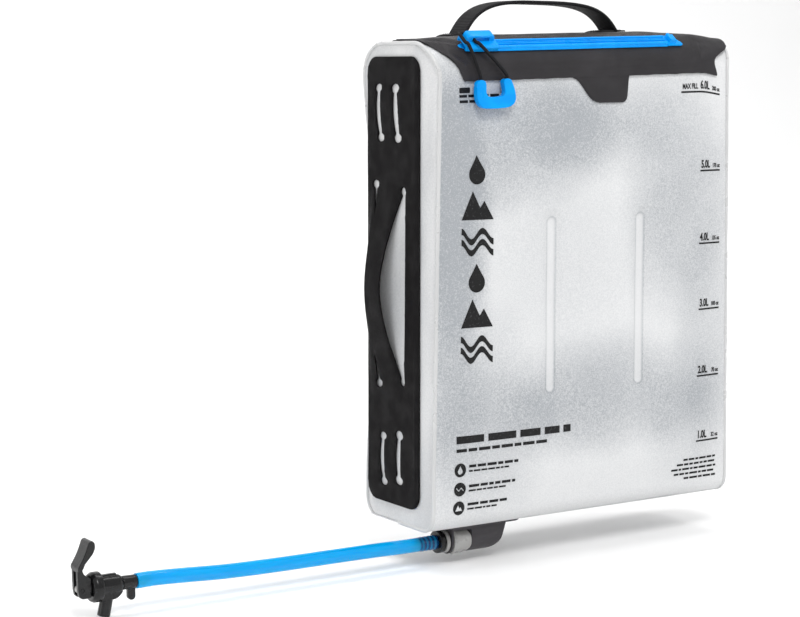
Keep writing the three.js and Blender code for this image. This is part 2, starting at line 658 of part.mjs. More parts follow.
// ---- the outlet port under the floor ----
const port = new THREE.Group();
port.position.set(0, PORT_Y, PORT_Z);
bag.add(port);
const FLOOR_OVER_PORT = -HEIGHT - PORT_Z;
const FLANGE_TOP = FLOOR_OVER_PORT - FILM - GAP;
const HOUSING_TOP = FLANGE_TOP - 2.2;
const HOUSING_RADIUS = 9.4;
const SOCKET_RADIUS = 5.2;
const PLUG_NOSE = SOCKET_END - 0.6;
const DRAIN_RADIUS = 3.6;

function portFlange() {
  const shape = roundedRect(-113, -13.5, -46, 15, 8);
  const plate = new THREE.ExtrudeGeometry(shape, { depth: 1.9, bevelEnabled: false, curveSegments: 5 });
  const neck = new THREE.CylinderGeometry(DRAIN_RADIUS, DRAIN_RADIUS, 8, 16).rotateX(Math.PI / 2);
  return cut(plate.translate(0, 0, FLANGE_TOP - 1.9), neck.translate(DRAIN_X, 0, FLANGE_TOP - 1));
}

// A tube under a flat top whose right end is cut away on a slant.
function portHousing() {
  const sideShape = new THREE.Shape();
  sideShape.moveTo(PORT_LEFT, HOUSING_TOP);
  sideShape.lineTo(PORT_LEFT, -HOUSING_RADIUS - 1);
  sideShape.lineTo(-78, -HOUSING_RADIUS - 1);
  sideShape.bezierCurveTo(-68, -HOUSING_RADIUS, -63, -5, -61, 1);
  sideShape.lineTo(-58, HOUSING_TOP);
  const section = new THREE.Shape();
  section.moveTo(HOUSING_RADIUS, 0);
  section.lineTo(HOUSING_RADIUS, HOUSING_TOP);
  section.lineTo(-HOUSING_RADIUS, HOUSING_TOP);
  section.lineTo(-HOUSING_RADIUS, 0);
  section.absarc(0, 0, HOUSING_RADIUS, Math.PI, 2 * Math.PI);
  const body = solid(slabY(sideShape, 30, 6)).intersect(solid(slabX(section, 70, 9).translate(-115, 0, 0)));
  const bore = (r, from, to) => new THREE.CylinderGeometry(r, r, to - from, 20)
    .rotateZ(Math.PI / 2).translate((from + to) / 2, 0, 0);
  const drain = new THREE.CylinderGeometry(DRAIN_RADIUS, DRAIN_RADIUS, 20, 16).rotateX(Math.PI / 2);
  const pocket = buttonShell(HOUSING_RADIUS - 2.7, HOUSING_RADIUS + 3, BUTTON_LEFT - GAP, BUTTON_RIGHT + 0.5, 0.14);
  return [
    bore(SOCKET_RADIUS, PORT_LEFT - 1, SOCKET_END),
    bore(2.2, SOCKET_END - 1, SEAT_END + 1),
    bore(4.2, SEAT_END, DRAIN_X + 3),
    drain.translate(DRAIN_X, 0, 10),
    pocket,
  ].reduce((left, g) => left.subtract(solid(g)), body);
}

const BUTTON_LEFT = -103;
const BUTTON_RIGHT = -88.5;
const BUTTON_ARC = 1.12;

// A slice of tube on the housing's front face with a rounded right end.
function buttonShell(inner, outer, left, right, wider = 0) {
  const half = BUTTON_ARC + wider;
  const ring = new THREE.Shape();
  ring.absarc(0, 0, outer, Math.PI - half, Math.PI + half);
  ring.absarc(0, 0, inner, Math.PI + half, Math.PI - half, true);
  const tube = slabX(ring, right - left, 9).translate(left, 0, 0);
  const height = 2 * outer * Math.sin(half) + 0.2;
  const face = roundedRect(left - 12, -height / 2, right, height / 2, Math.min(6.5, height / 2 - 0.1));
  return fromSolid(solid(tube).intersect(solid(slabY(face, 40, 4))));
}

function releaseButton() {
  const plate = buttonShell(HOUSING_RADIUS - 1.5, HOUSING_RADIUS + 0.5, BUTTON_LEFT, BUTTON_RIGHT);
  const rib = buttonShell(HOUSING_RADIUS - 1.5, HOUSING_RADIUS + 1.1, BUTTON_LEFT, BUTTON_LEFT + 4.5);
  return join(plate, rib);
}

add("port_flange", portFlange(), charcoal(), port);
add("port_housing", fromSolid(portHousing()), charcoal(), port);
add("release_button", releaseButton(), paleGrey(), port);

// The poppet closes the port when the plug is out; the seated plug holds it back against its spring.
function poppet() {
  return turned([[0, 0], [0, 1.2], [3.4, 1.2], [3.4, 3.6], [4.6, 3.6], [4.6, 0]], X_AXIS, 16)
    .translate(PLUG_NOSE + GAP, 0, 0);
}
add("port_poppet", poppet(), charcoal(), port);

// ---- the plug, its seal and the hose ----
const COLLAR = PORT_LEFT - 0.6;
const HOSE_START = COLLAR - 8.2;

function hosePlug() {
  const r = SOCKET_RADIUS - 0.35;
  const barbs = [0, 1, 2, 3].flatMap((i) => [[HOSE_START - 1 - 3.4 * i, 2.5], [HOSE_START - 3.6 - 3.4 * i, 2.95]]);
  const tip = HOSE_START - 16;
  const profile = [
    [PLUG_NOSE, 1.7], [PLUG_NOSE, r - 0.6], [PLUG_NOSE - 0.8, r], [-91.6, r], [-91.6, 3.2], [-94.6, 3.2],
    [-94.6, r], [COLLAR, r], [COLLAR, 8.5], [COLLAR - 3, 8.5], [COLLAR - 3, 7.2], [COLLAR - 4.4, 7.2],
    [COLLAR - 4.4, 8.2], [COLLAR - 7.6, 8], [COLLAR - 7.6, 2.9], ...barbs, [tip, 2.4], [tip, 1.7], [PLUG_NOSE, 1.7],
  ];
  return turned(profile, X_AXIS, 16);
}

// The seal is a rubber ring in the plug's groove.
function plugSeal() {
  const ring = [];
  for (let i = 0; i <= 6; i++) {
    const t = (i / 6) * 2 * Math.PI;
    ring.push([-93.1 + 0.75 * Math.cos(t), 4.25 + 0.75 * Math.sin(t)]);
  }
  return turned(ring, X_AXIS, 16);
}

add("hose_plug", hosePlug(), black(), port);
add("plug_seal", plugSeal(), rubber(), port);

// The hose leaves the plug nearly level and dips a little before the tap.
const HOSE_ROUTE = [
  [HOSE_START, PORT_Z], [-139, PORT_Z], [-165, -353.7], [-202, -353.4], [-242, -353.2], [-280, -352.4],
  [-312, -350.6], [-333, TAP_Z], [TAP_X + 10.4, TAP_Z],
].map(([x, z]) => new THREE.Vector3(x, PORT_Y, z));
add("outlet_hose", rod(HOSE_ROUTE, HOSE_RADIUS, 10, 18, HOSE_BORE), blue());

// ---- the lever tap, in a frame at its inlet groove: X toward the hose, so the tap reaches along -X ----
const tap = new THREE.Group();
tap.position.set(TAP_X, PORT_Y, TAP_Z);
bag.add(tap);

function tapInlet() {
  const barb = [[0.15, 0.1], [0.15, 4.6]];
  barb.push([10, 4.4], [10, 2.5], [13, 2.9], [13, 2.5], [16, 2.9], [16, 2.5], [19.5, 2.9], [20.5, 2.4], [20.5, 1.7]);
  const body = turned([[0.15, 1.7], ...barb.slice(1), [0.15, 1.7]], X_AXIS, 16);
  const fin = new THREE.Shape();
  fin.moveTo(4.2, -3.4);
  fin.lineTo(4.2, -9.2);
  fin.absarc(6.8, -9.2, 2.6, Math.PI, 2 * Math.PI);
  fin.lineTo(9.4, -3.4);
  return join(body, slabY(fin, 3.4, 5));
}

const STEM_RADIUS = 1.5;
const CAP_FACE = -22.3;
const PIN_X = -29;
const SPOUT = { x: -8.5, lean: 0.21, radius: 4.2, bore: 2.9, length: 20.2 };

function tapBody() {
  const barrel = turned([[-0.2, 0], [-0.2, 5], [-2, 6.3], [-15, 6.4], [-15, 5.6], [-21.6, 5.6], [-21.6, 0]], X_AXIS, 20);
  const fairing = slabY(polygon([[-0.6, -2], [-0.6, -5], [-4.5, -8.6], [-15, -9.6], [-15, -2]]), 8.6);
  const rib = box(-14.5, -4, -1.3, 1.3, 5, 7.4);
  const tube = (r, length) => new THREE.CylinderGeometry(r, r, length, 16).translate(0, -length / 2, 0)
    .rotateX(Math.PI / 2).rotateY(SPOUT.lean).translate(SPOUT.x, 0, 0);
  const chamber = new THREE.CylinderGeometry(3.4, 3.4, 18.2, 16).rotateZ(Math.PI / 2).translate(-12.6, 0, 0);
  const inlet = new THREE.CylinderGeometry(1.7, 1.7, 6, 12).rotateZ(Math.PI / 2).translate(-2, 0, 0);
  const whole = join(barrel, fairing, rib, tube(SPOUT.radius, SPOUT.length));
  return cut(whole, chamber, inlet, tube(SPOUT.bore, SPOUT.length + 2));
}

// The cap closes the barrel round the stem.
function tapCap() {
  const profile = [
    [-15.3, 5.95], [-15.3, 9.4], [-16, 9.9], [-20, 9.9], [CAP_FACE, 8.6], [CAP_FACE, 2.1], [-21.9, 2.1],
    [-21.9, 5.95], [-15.3, 5.95],
  ];
  return turned(profile, X_AXIS, 24);
}

// The stem runs from the valve head out through the cap to an eye between the lever's cheeks.
function tapStem() {
  const head = [[-4.95, 0], [-4.95, 2.7], [-6.4, 2.7], [-6.4, STEM_RADIUS]];
  const rodShape = turned([...head, [-26, STEM_RADIUS], [-26, 0]], X_AXIS, 12);
  const eye = slabY(roundedRect(PIN_X - 2.6, -2.6, PIN_X + 4, 2.6, 2.5), 3.4, 4);
  const pinHole = new THREE.CylinderGeometry(1.35, 1.35, 8, 12).translate(PIN_X, 0, 0);
  return cut(join(rodShape, eye), pinHole);
}

function stemSeal() {
  return turned([[-4.6, 0], [-4.6, 2.8], [-3.85, 2.8], [-3.85, 0]], X_AXIS, 14);
}

// Two cheeks either side of the stem's eye, an arm outside them and a paddle leaning back over the barrel.
function tapLever() {
  const base = CAP_FACE - GAP;
  const arm = polygon([
    [base, -5.4], [base, 7.2], [-26, 8.6], [-30, 10.2], [-31.6, 13.2], [-32, 15.5], [-35.8, 15.2],
    [-34.6, 8], [-33.4, 0], [-32, -4.4], [-29.5, -5.8],
  ]);
  const paddle = polygon([[-31.6, 13.6], [-23, 28.2], [-24, 31], [-26.8, 31.4], [-35.8, 15.2], [-35.2, 12]]);
  const outer = join(slabY(arm, 10, 6), slabY(paddle, 15, 6));
  const slot = box(-31.8, base + 1, -2.05, 2.05, -8, 12);
  const window = box(-36, -31, -1.6, 1.6, -3.4, 1.6);
  const bore = new THREE.CylinderGeometry(1.35, 1.35, 20, 12).translate(PIN_X, 0, 0);
  return cut(outer, slot, window, bore);
}

add("tap_inlet", tapInlet(), black(), tap);
add("tap_body", tapBody(), black(), tap);
add("tap_cap", tapCap(), black(), tap);
add("tap_stem", tapStem(), paleGrey(), tap);
add("stem_seal", stemSeal(), rubber(), tap);
add("tap_lever", tapLever(), black(), tap);
add("lever_pin", new THREE.CylinderGeometry(1.05, 1.05, 9.8, 12).translate(PIN_X, 0, 0), steel(), tap);
add("tap_spring", spring(new THREE.Vector3(-7.2, 0, 0), X_AXIS.clone().negate(), 13.9, 2.45, 0.4, 5), steel(), tap);
add("poppet_spring", spring(new THREE.Vector3(PLUG_NOSE + 5.7, 0, 0), X_AXIS, 8, 2.6, 0.4, 3), steel(), port);
add("button_spring", spring(new THREE.Vector3(-97, -7.45, 0), Y_AXIS, 0.45, 2, 0.2, 1), steel(), port);

export default group;
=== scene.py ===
"""The hydration bladder's looks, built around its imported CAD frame. Metres, in the frame's own axes.

Local shapes are in millimetres of the bag's own frame, whose origin is the top centre of the film shell, and
BAG, PORT, TAP and ZIP turn them into the frame's metres.
"""

import json
import math
import random

import bmesh
import bpy
import numpy as np
from mathutils import Matrix, Vector, noise
from mathutils.geometry import tessellate_polygon
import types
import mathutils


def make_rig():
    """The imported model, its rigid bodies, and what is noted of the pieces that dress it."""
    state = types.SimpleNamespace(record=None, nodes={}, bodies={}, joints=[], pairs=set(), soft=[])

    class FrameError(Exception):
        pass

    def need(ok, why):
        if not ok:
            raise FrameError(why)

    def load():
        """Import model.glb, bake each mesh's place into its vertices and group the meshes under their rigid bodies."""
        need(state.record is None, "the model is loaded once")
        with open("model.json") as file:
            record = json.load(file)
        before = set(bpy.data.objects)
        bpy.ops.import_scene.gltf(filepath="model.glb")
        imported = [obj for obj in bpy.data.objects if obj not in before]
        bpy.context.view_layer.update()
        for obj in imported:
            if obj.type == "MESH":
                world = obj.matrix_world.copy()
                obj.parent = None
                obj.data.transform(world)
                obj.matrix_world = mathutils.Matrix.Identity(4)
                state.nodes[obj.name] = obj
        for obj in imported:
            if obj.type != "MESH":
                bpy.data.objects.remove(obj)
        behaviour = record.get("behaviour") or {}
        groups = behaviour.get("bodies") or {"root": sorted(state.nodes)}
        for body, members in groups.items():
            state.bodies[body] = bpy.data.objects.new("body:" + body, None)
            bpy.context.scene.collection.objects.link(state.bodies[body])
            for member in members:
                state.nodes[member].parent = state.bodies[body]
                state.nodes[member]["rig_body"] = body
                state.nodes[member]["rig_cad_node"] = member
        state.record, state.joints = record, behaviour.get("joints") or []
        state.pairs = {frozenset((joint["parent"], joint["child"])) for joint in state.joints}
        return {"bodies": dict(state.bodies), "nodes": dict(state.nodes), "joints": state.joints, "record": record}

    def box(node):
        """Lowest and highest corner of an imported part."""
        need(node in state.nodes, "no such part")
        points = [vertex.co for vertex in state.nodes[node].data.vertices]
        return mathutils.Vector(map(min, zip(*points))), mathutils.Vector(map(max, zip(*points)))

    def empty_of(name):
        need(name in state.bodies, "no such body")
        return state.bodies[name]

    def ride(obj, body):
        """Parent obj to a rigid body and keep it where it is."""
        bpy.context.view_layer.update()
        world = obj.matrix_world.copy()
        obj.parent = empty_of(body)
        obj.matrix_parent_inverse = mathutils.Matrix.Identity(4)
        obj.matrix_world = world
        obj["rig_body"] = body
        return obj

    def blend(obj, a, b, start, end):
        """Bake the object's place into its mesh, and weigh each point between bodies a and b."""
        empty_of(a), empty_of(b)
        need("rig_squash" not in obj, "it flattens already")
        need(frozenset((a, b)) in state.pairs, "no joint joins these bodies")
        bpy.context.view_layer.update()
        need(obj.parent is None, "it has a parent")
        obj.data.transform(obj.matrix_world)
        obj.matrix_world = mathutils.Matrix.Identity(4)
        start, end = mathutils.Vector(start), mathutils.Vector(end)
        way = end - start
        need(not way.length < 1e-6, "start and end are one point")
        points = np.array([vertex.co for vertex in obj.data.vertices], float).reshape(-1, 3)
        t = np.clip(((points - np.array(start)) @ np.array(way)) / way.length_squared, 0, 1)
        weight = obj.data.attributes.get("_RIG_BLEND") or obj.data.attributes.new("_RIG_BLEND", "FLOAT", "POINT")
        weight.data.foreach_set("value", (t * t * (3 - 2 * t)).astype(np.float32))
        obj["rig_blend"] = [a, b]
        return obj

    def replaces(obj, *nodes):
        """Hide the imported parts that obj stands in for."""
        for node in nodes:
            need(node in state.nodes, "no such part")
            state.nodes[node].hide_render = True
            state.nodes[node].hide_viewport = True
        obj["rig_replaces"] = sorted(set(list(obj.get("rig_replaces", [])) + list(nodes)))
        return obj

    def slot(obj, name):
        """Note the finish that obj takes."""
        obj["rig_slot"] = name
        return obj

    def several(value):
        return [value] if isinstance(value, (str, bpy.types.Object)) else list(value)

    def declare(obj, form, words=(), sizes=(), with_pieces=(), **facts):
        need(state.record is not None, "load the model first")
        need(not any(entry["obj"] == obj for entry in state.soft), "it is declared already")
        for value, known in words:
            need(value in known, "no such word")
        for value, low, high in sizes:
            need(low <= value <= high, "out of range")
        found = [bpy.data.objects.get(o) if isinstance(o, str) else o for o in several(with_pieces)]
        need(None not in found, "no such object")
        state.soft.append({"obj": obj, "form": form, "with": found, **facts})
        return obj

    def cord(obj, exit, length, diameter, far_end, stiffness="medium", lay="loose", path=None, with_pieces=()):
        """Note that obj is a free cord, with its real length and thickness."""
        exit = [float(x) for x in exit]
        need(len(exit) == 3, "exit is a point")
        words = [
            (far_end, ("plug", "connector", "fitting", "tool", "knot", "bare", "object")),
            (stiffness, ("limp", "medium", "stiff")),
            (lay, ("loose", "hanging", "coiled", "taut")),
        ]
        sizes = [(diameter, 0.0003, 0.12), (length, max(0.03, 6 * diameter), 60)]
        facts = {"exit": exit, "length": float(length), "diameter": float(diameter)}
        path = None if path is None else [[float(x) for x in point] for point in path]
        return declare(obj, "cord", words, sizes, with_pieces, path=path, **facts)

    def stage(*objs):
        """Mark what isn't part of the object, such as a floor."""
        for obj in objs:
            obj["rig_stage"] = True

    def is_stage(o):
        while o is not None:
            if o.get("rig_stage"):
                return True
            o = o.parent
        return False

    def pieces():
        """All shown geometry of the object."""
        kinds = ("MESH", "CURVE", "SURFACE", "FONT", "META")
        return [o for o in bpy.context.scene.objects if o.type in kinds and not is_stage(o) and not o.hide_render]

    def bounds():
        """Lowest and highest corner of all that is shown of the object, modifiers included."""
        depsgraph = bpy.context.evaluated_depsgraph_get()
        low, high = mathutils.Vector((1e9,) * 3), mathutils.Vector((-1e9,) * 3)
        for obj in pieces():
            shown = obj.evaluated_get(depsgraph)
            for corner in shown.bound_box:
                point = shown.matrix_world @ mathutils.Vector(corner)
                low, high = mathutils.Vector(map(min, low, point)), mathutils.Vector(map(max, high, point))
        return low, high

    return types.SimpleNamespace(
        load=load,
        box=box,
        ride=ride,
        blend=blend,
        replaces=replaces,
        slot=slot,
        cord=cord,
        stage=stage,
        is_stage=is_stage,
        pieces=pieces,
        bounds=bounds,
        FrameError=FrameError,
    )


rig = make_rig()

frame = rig.load()
cad_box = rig.bounds()
NODES = frame["nodes"]

# ---- driving dimensions, in millimetres ----
WIDTH = 270
DEPTH = 88
HEIGHT = 340.6
TOP_RADIUS = 24
BOTTOM_RADIUS = 12
FILM = 0.8
GAP = 0.35
BULGE = 4
RIM_SLOPE = 0.0265
CROWN_RISE = 2.4
BAND_THICK = 0.9
BAND_OUT = 0.8
BAND_FRONT = 60.9
BAND_REAR = -58
ZIP_LINE = 36.4
ZIP_LEFT = -100
ZIP_RIGHT = 73
BAFFLES = (-34.5, 46)
BAFFLE_TOP = -125
BAFFLE_BOTTOM = -250
BAFFLE_HALF = 3.7
HANDLE_Y = 17
HANDLE_CENTRE = -4.5
HOSE_Y = -16
HOSE_RADIUS = 5
HOSE_BORE = 3.7

HALF_WIDTH = WIDTH / 2
HALF_DEPTH = DEPTH / 2
HALF_TOP = HALF_DEPTH - TOP_RADIUS
WALL_START = HALF_TOP + TOP_RADIUS * math.pi / 2
WALL_END = WALL_START + HEIGHT - TOP_RADIUS - BOTTOM_RADIUS
FLOOR_START = WALL_END + BOTTOM_RADIUS * math.pi / 2
OUTLINE_END = FLOOR_START + HALF_DEPTH - BOTTOM_RADIUS
PANEL_X = HALF_WIDTH - 1.3
PANEL_TOP = 46
PANEL_LOW = 377
FLOOR_HALF = 36

# ---- local frames: each takes local millimetres to the frame's metres ----
floor_low, floor_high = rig.box("floor_panel")
BAG_TOP = (floor_low + floor_high) / 2
BAG_TOP.z = floor_low.z + HEIGHT / 1000
BAG = Matrix.Translation(BAG_TOP) @ Matrix.Scale(0.001, 4)
PORT = BAG @ Matrix.Translation((0, HOSE_Y, -354.2))
TAP = BAG @ Matrix.Translation((-356.6, HOSE_Y, -349.6))


def added(name, data):
    """A new object in the scene."""
    obj = bpy.data.objects.new(name, data)
    bpy.context.scene.collection.objects.link(obj)
    return obj


# ---- camera ----
def make_camera():
    """Looks from the front left, a little down, through a long lens."""
    data = bpy.data.cameras.new("camera")
    data.lens = 91.2
    data.sensor_width = 36
    data.clip_end = 30
    camera = added("camera", data)
    camera.location = BAG @ Vector((-899.6, -1180.9, -20.6))
    turn, down = math.radians(33.01), math.radians(6.78)
    camera.rotation_euler = (math.pi / 2 - down, 0, -turn)
    bpy.context.scene.camera = camera


make_camera()


# ---- shader building ----
class Value:
    """A number worked out inside a shader, which takes the usual operators."""

    def __init__(self, look, socket):
        self.look = look
        self.socket = socket

    def __add__(self, other):
        return self.look.math("ADD", self, other)

    def __sub__(self, other):
        return self.look.math("SUBTRACT", self, other)

    def __rsub__(self, other):
        return self.look.math("SUBTRACT", other, self)

    def __mul__(self, other):
        return self.look.math("MULTIPLY", self, other)

    def __truediv__(self, other):
        return self.look.math("DIVIDE", self, other)

    def sine(self):
        return self.look.math("SINE", self)

    def least(self, other):
        return self.look.math("MINIMUM", self, other)

    def most(self, other):
        return self.look.math("MAXIMUM", self, other)

    def clamped(self):
        """The number, held between 0 and 1 by the node that gives it."""
        self.socket.node.use_clamp = True
        return self

    __radd__ = __add__
    __rmul__ = __mul__


class Look:
    """A material made of a Principled shader fed by procedural nodes in object coordinates, in metres."""

    def __init__(self, name, **sockets):
        self.material = bpy.data.materials.new(name)
        self.material.use_nodes = True
        self.tree = self.material.node_tree
        self.shader = self.tree.nodes["Principled BSDF"]
        for socket, value in sockets.items():
            self.shader.inputs[socket.replace("_", " ")].default_value = value
        self.place = self.node("ShaderNodeTexCoord").outputs["Object"]
        self.bumps = []

    def feed(self, socket, value):
        """Links a value to a socket, or sets the socket to it."""
        value = getattr(value, "socket", value)
        if isinstance(value, bpy.types.NodeSocket):
            self.tree.links.new(value, socket)
        else:
            socket.default_value = (*value, 1) if socket.type == "RGBA" else value

    def node(self, kind, inputs=(), **settings):
        node = self.tree.nodes.new(kind)
        for key, value in settings.items():
            setattr(node, key, value)
        for key, value in dict(inputs).items():
            self.feed(node.inputs[key], value)
        return node

    def math(self, operation, a, b=0.0):
        return Value(self, self.node("ShaderNodeMath", {0: a, 1: b}, operation=operation).outputs[0])

    def noise(self, scale, detail=2.0, stretch=(1, 1, 1), place=None, roughness=0.5):
        scaled = self.node("ShaderNodeMapping", {"Vector": place or self.place, "Scale": stretch}).outputs[0]
        inputs = {"Vector": scaled, "Scale": scale, "Detail": detail, "Roughness": roughness}
        return Value(self, self.node("ShaderNodeTexNoise", inputs).outputs["Fac"])

    def remap(self, value, low, high, to_low=0.0, to_high=1.0):
        inputs = {"Value": value, "From Min": low, "From Max": high, "To Min": to_low, "To Max": to_high}
        node = self.node("ShaderNodeMapRange", inputs, interpolation_type="SMOOTHSTEP")
        return Value(self, node.outputs[0])

    def spread(self, scale, low, high, detail=2.0):
        """Noise stretched to run from low to high."""
        return self.remap(self.noise(scale, detail), 0.3, 0.7, low, high)

    def mix(self, factor, a, b):
        return self.node("ShaderNodeMix", {"Factor": factor, 6: a, 7: b}, data_type="RGBA").outputs[2]

    def parts(self, vector):
        outputs = self.node("ShaderNodeSeparateXYZ", {0: vector}).outputs
        return [Value(self, outputs[i]) for i in range(3)]

    def attribute(self, name):
        return self.parts(self.node("ShaderNodeAttribute", attribute_name=name).outputs["Vector"])

    def axes(self):
        return self.parts(self.place)

    def bump(self, height, depth_mm):
        self.bumps.append((height, depth_mm))

    def done(self, color, rough=None):
        """The finished material."""
        self.feed(self.shader.inputs["Base Color"], color)
        if rough is not None:
            self.feed(self.shader.inputs["Roughness"], rough)
        normal = None
        for height, depth in self.bumps:
            inputs = {"Height": height, "Distance": depth / 1000, "Strength": 1.0}
            if normal is not None:
                inputs["Normal"] = normal
            normal = self.node("ShaderNodeBump", inputs).outputs[0]
        if normal is not None:
            self.feed(self.shader.inputs["Normal"], normal)
        return self.material


PAINTED_SHADE_PATCHES = [
    # painted shade patches: centre x and z and the half sizes across and down, in bag millimetres, then how strong
    (-70, -66, 84, 44, 0.80), (-124, -110, 30, 110, 0.62), (80, -112, 46, 82, 0.62), (8, -62, 70, 34, 0.36),
    (10, -256, 92, 40, 0.66), (-100, -262, 54, 66, 0.58), (-118, -200, 26, 120, 0.42),
    (112, -212, 30, 80, 0.34), (96, -276, 46, 50, 0.30), (-30, -150, 60, 60, 0.16),
]
FILM_SOCKETS = {"Transmission_Weight": 0.15, "IOR": 1.4, "Specular_IOR_Level": 0.35}


def film_look():
    """Frosted film: near white, with painted shade as soft silver grey patches, grainier where the painted shade is.
    """
    m = Look("frosted_film", Coat_Weight=0.1, **FILM_SOCKETS)
    x, _, z = m.axes()
    # painted shade: a faint even grey, and soft grey patches at the listed places with wavering edges
    waver = (m.noise(13, 3) - 0.5) * 1.5
    cloud = 0.10
    for cx, cz, wide, tall, strength in PAINTED_SHADE_PATCHES:
        at = BAG @ Vector((cx, 0, cz))
        dx = (x - at.x) / (wide / 1000)
        dz = (z - at.z) / (tall / 1000)
        cloud = cloud + m.remap(dx * dx + dz * dz + waver, -0.5, 1.9, 1, 0) * strength
    cloud = cloud.least(1.0)
    grain = m.spread(1150, -0.5, 0.5, 1) + m.spread(560, -0.2, 0.2, 1)
    tone = cloud + grain * (cloud * 0.40 + 0.12)
    for middle in BAFFLES:
        seal, rim = stripe_tones(m, x, z, middle)
        tone = tone * m.remap(seal, 0, 1, 1, 0.35) + rim * 0.30
    tone = tone.most(0.0).least(1.0)
    m.bump(m.noise(1000, 2), 0.015)
    m.bump(m.noise(60, 2), 0.2)
    return m.done(m.mix(tone, (0.78, 0.785, 0.79), (0.36, 0.38, 0.405)), m.spread(40, 0.32, 0.46))


def stripe_tones(m, x, z, middle):
    """How far inside a sealed stripe a place is, and how close to its outline."""
    top = BAG @ Vector((middle, 0, BAFFLE_TOP - BAFFLE_HALF))
    low = BAG @ Vector((middle, 0, BAFFLE_BOTTOM + BAFFLE_HALF))
    dx = x - top.x
    dz = (z - top.z).most(0.0) + (low.z - z).most(0.0)
    edge = m.math("SQRT", dx * dx + dz * dz) - BAFFLE_HALF / 1000
    near = m.math("ABSOLUTE", edge)
    return m.remap(edge, -0.0008, 0.0004, 1, 0), m.remap(near, 0.0002, 0.0012, 1, 0)


def side_film_look():
    """The same film on the sides and floor, with softer clouds."""
    m = Look("side_film", Coat_Weight=0.1, **FILM_SOCKETS)
    cloud = m.remap(m.noise(16, 3, stretch=(1, 1, 0.35)), 0.36, 0.68)
    grain = m.remap(m.noise(850, 2, roughness=0.7), 0.3, 0.7, -0.14, 0.14)
    tone = (cloud * 0.7 + grain).clamped()
    m.bump(m.noise(1000, 2), 0.015)
    m.bump(m.noise(75, 2, stretch=(1, 1, 0.3)), 0.3)
    return m.done(m.mix(tone, (0.70, 0.702, 0.705), (0.43, 0.44, 0.453)), m.spread(40, 0.3, 0.44))


def weld_look():
    """Clear film melted together: a little glossier and more even than the film."""
    m = Look("welded_edge", Coat_Weight=0.2, **FILM_SOCKETS)
    m.bump(m.noise(160, 2), 0.05)
    tone = m.noise(45, 3, stretch=(1, 1, 0.4))
    return m.done(m.mix(tone, (0.70, 0.70, 0.70), (0.52, 0.525, 0.53)), m.spread(120, 0.26, 0.4))


def cloth_look(name, base, lift, gloss=0.55, shine=0.2, weave_mm=0.7, depth_mm=0.035):
    """Coated fabric: a fine plain weave under a smooth coat, with rubbed and dusty patches."""
    m = Look(name, Specular_IOR_Level=shine)
    x, y, z = m.axes()
    turns = 2 * math.pi / (weave_mm / 1000)
    down = y + z
    weave = ((x + y * 0.9) * turns).sine() * (down * turns).sine()
    m.bump(weave, depth_mm)
    m.bump(m.noise(220, 3), 0.05)
    rubbed = m.remap(m.noise(38, 4), 0.45, 0.75)
    worn = (rubbed * 0.7 + weave * 0.12).clamped()
    return m.done(m.mix(worn, base, lift), m.spread(90, gloss - 0.07, gloss + 0.1, 3))


def webbing_look():
    """Black webbing: ribs across its length, and paler threads where it is rubbed."""
    m = Look("webbing", Specular_IOR_Level=0.14)
    across, along, _ = m.attribute("strand")
    rib = (along * (2 * math.pi / 0.0014)).sine()
    pick = (across * (2 * math.pi / 0.0021)).sine()
    weave = rib * (pick * 0.35 + 0.65)
    m.bump(weave, 0.16)
    tone = (weave * 0.3 + m.noise(160, 3)).clamped()
    return m.done(m.mix(tone, (0.005, 0.005, 0.0055), (0.022, 0.021, 0.023)), 0.7)


def braid_look():
    """Braided cord: two sets of strands crossing around it."""
    m = Look("braided_cord", Specular_IOR_Level=0.15)
    around, along, _ = m.attribute("strand")
    lead = along * (2 * math.pi / 0.0018)
    braid = (around * 4 + lead).sine() * (around * 4 - lead).sine()
    m.bump(braid, 0.12)
    tone = (braid * 0.4 + 0.4).clamped()
    return m.done(m.mix(tone, (0.004, 0.004, 0.0045), (0.018, 0.018, 0.02)), 0.62)


def moulded_look(name, base, lift, rough, coat=0.0, grain=0.012, shine=0.5):
    """Moulded plastic: slight flow marks, a fine grain and uneven gloss."""
    m = Look(name, Coat_Weight=coat, Coat_Roughness=0.08, Specular_IOR_Level=shine)
    flow = m.noise(60, 4, stretch=(1, 0.6, 2.5))
    m.bump(m.noise(1500, 2), grain)
    m.bump(m.noise(140, 2), 0.05)
    tone = m.remap(flow, 0.35, 0.7)
    return m.done(m.mix(tone, base, lift), m.spread(110, rough - 0.05, rough + 0.08, 3))


def hose_look():
    """Clear blue tube with faint drawn lines, darker where the plug's barbs show through its wall."""
    sockets = {"Transmission_Weight": 0.55, "IOR": 1.4, "Specular_IOR_Level": 0.3}
    m = Look("hose_tube", Coat_Weight=0.12, Coat_Roughness=0.05, **sockets)
    around, along, _ = m.attribute("strand")
    lines = m.node("ShaderNodeCombineXYZ", {0: around * 0.004, 1: along * 0.05}).outputs[0]
    drawn = m.noise(500, 2, place=lines)
    m.bump(drawn, 0.03)
    tone = m.remap(drawn, 0.3, 0.7, 0, 0.5)
    over_barbs = m.remap(along, 0.0135, 0.0165, 1, 0)
    ribs = (along * (2 * math.pi / 0.0034)).sine()
    shade = over_barbs * (ribs * 0.28 + 0.68)
    clear = m.mix(tone, (0.0, 0.58, 1.0), (0.0, 0.46, 0.97))
    return m.done(m.mix(shade, clear, (0.0, 0.02, 0.2)), m.spread(90, 0.08, 0.16))


def steel_look():
    """Drawn spring wire."""
    m = Look("spring_steel", Metallic=1.0)
    m.bump(m.noise(900, 2, stretch=(1, 1, 0.2)), 0.01)
    return m.done(m.mix(m.noise(300, 3), (0.42, 0.42, 0.44), (0.62, 0.62, 0.64)), m.spread(400, 0.22, 0.4))


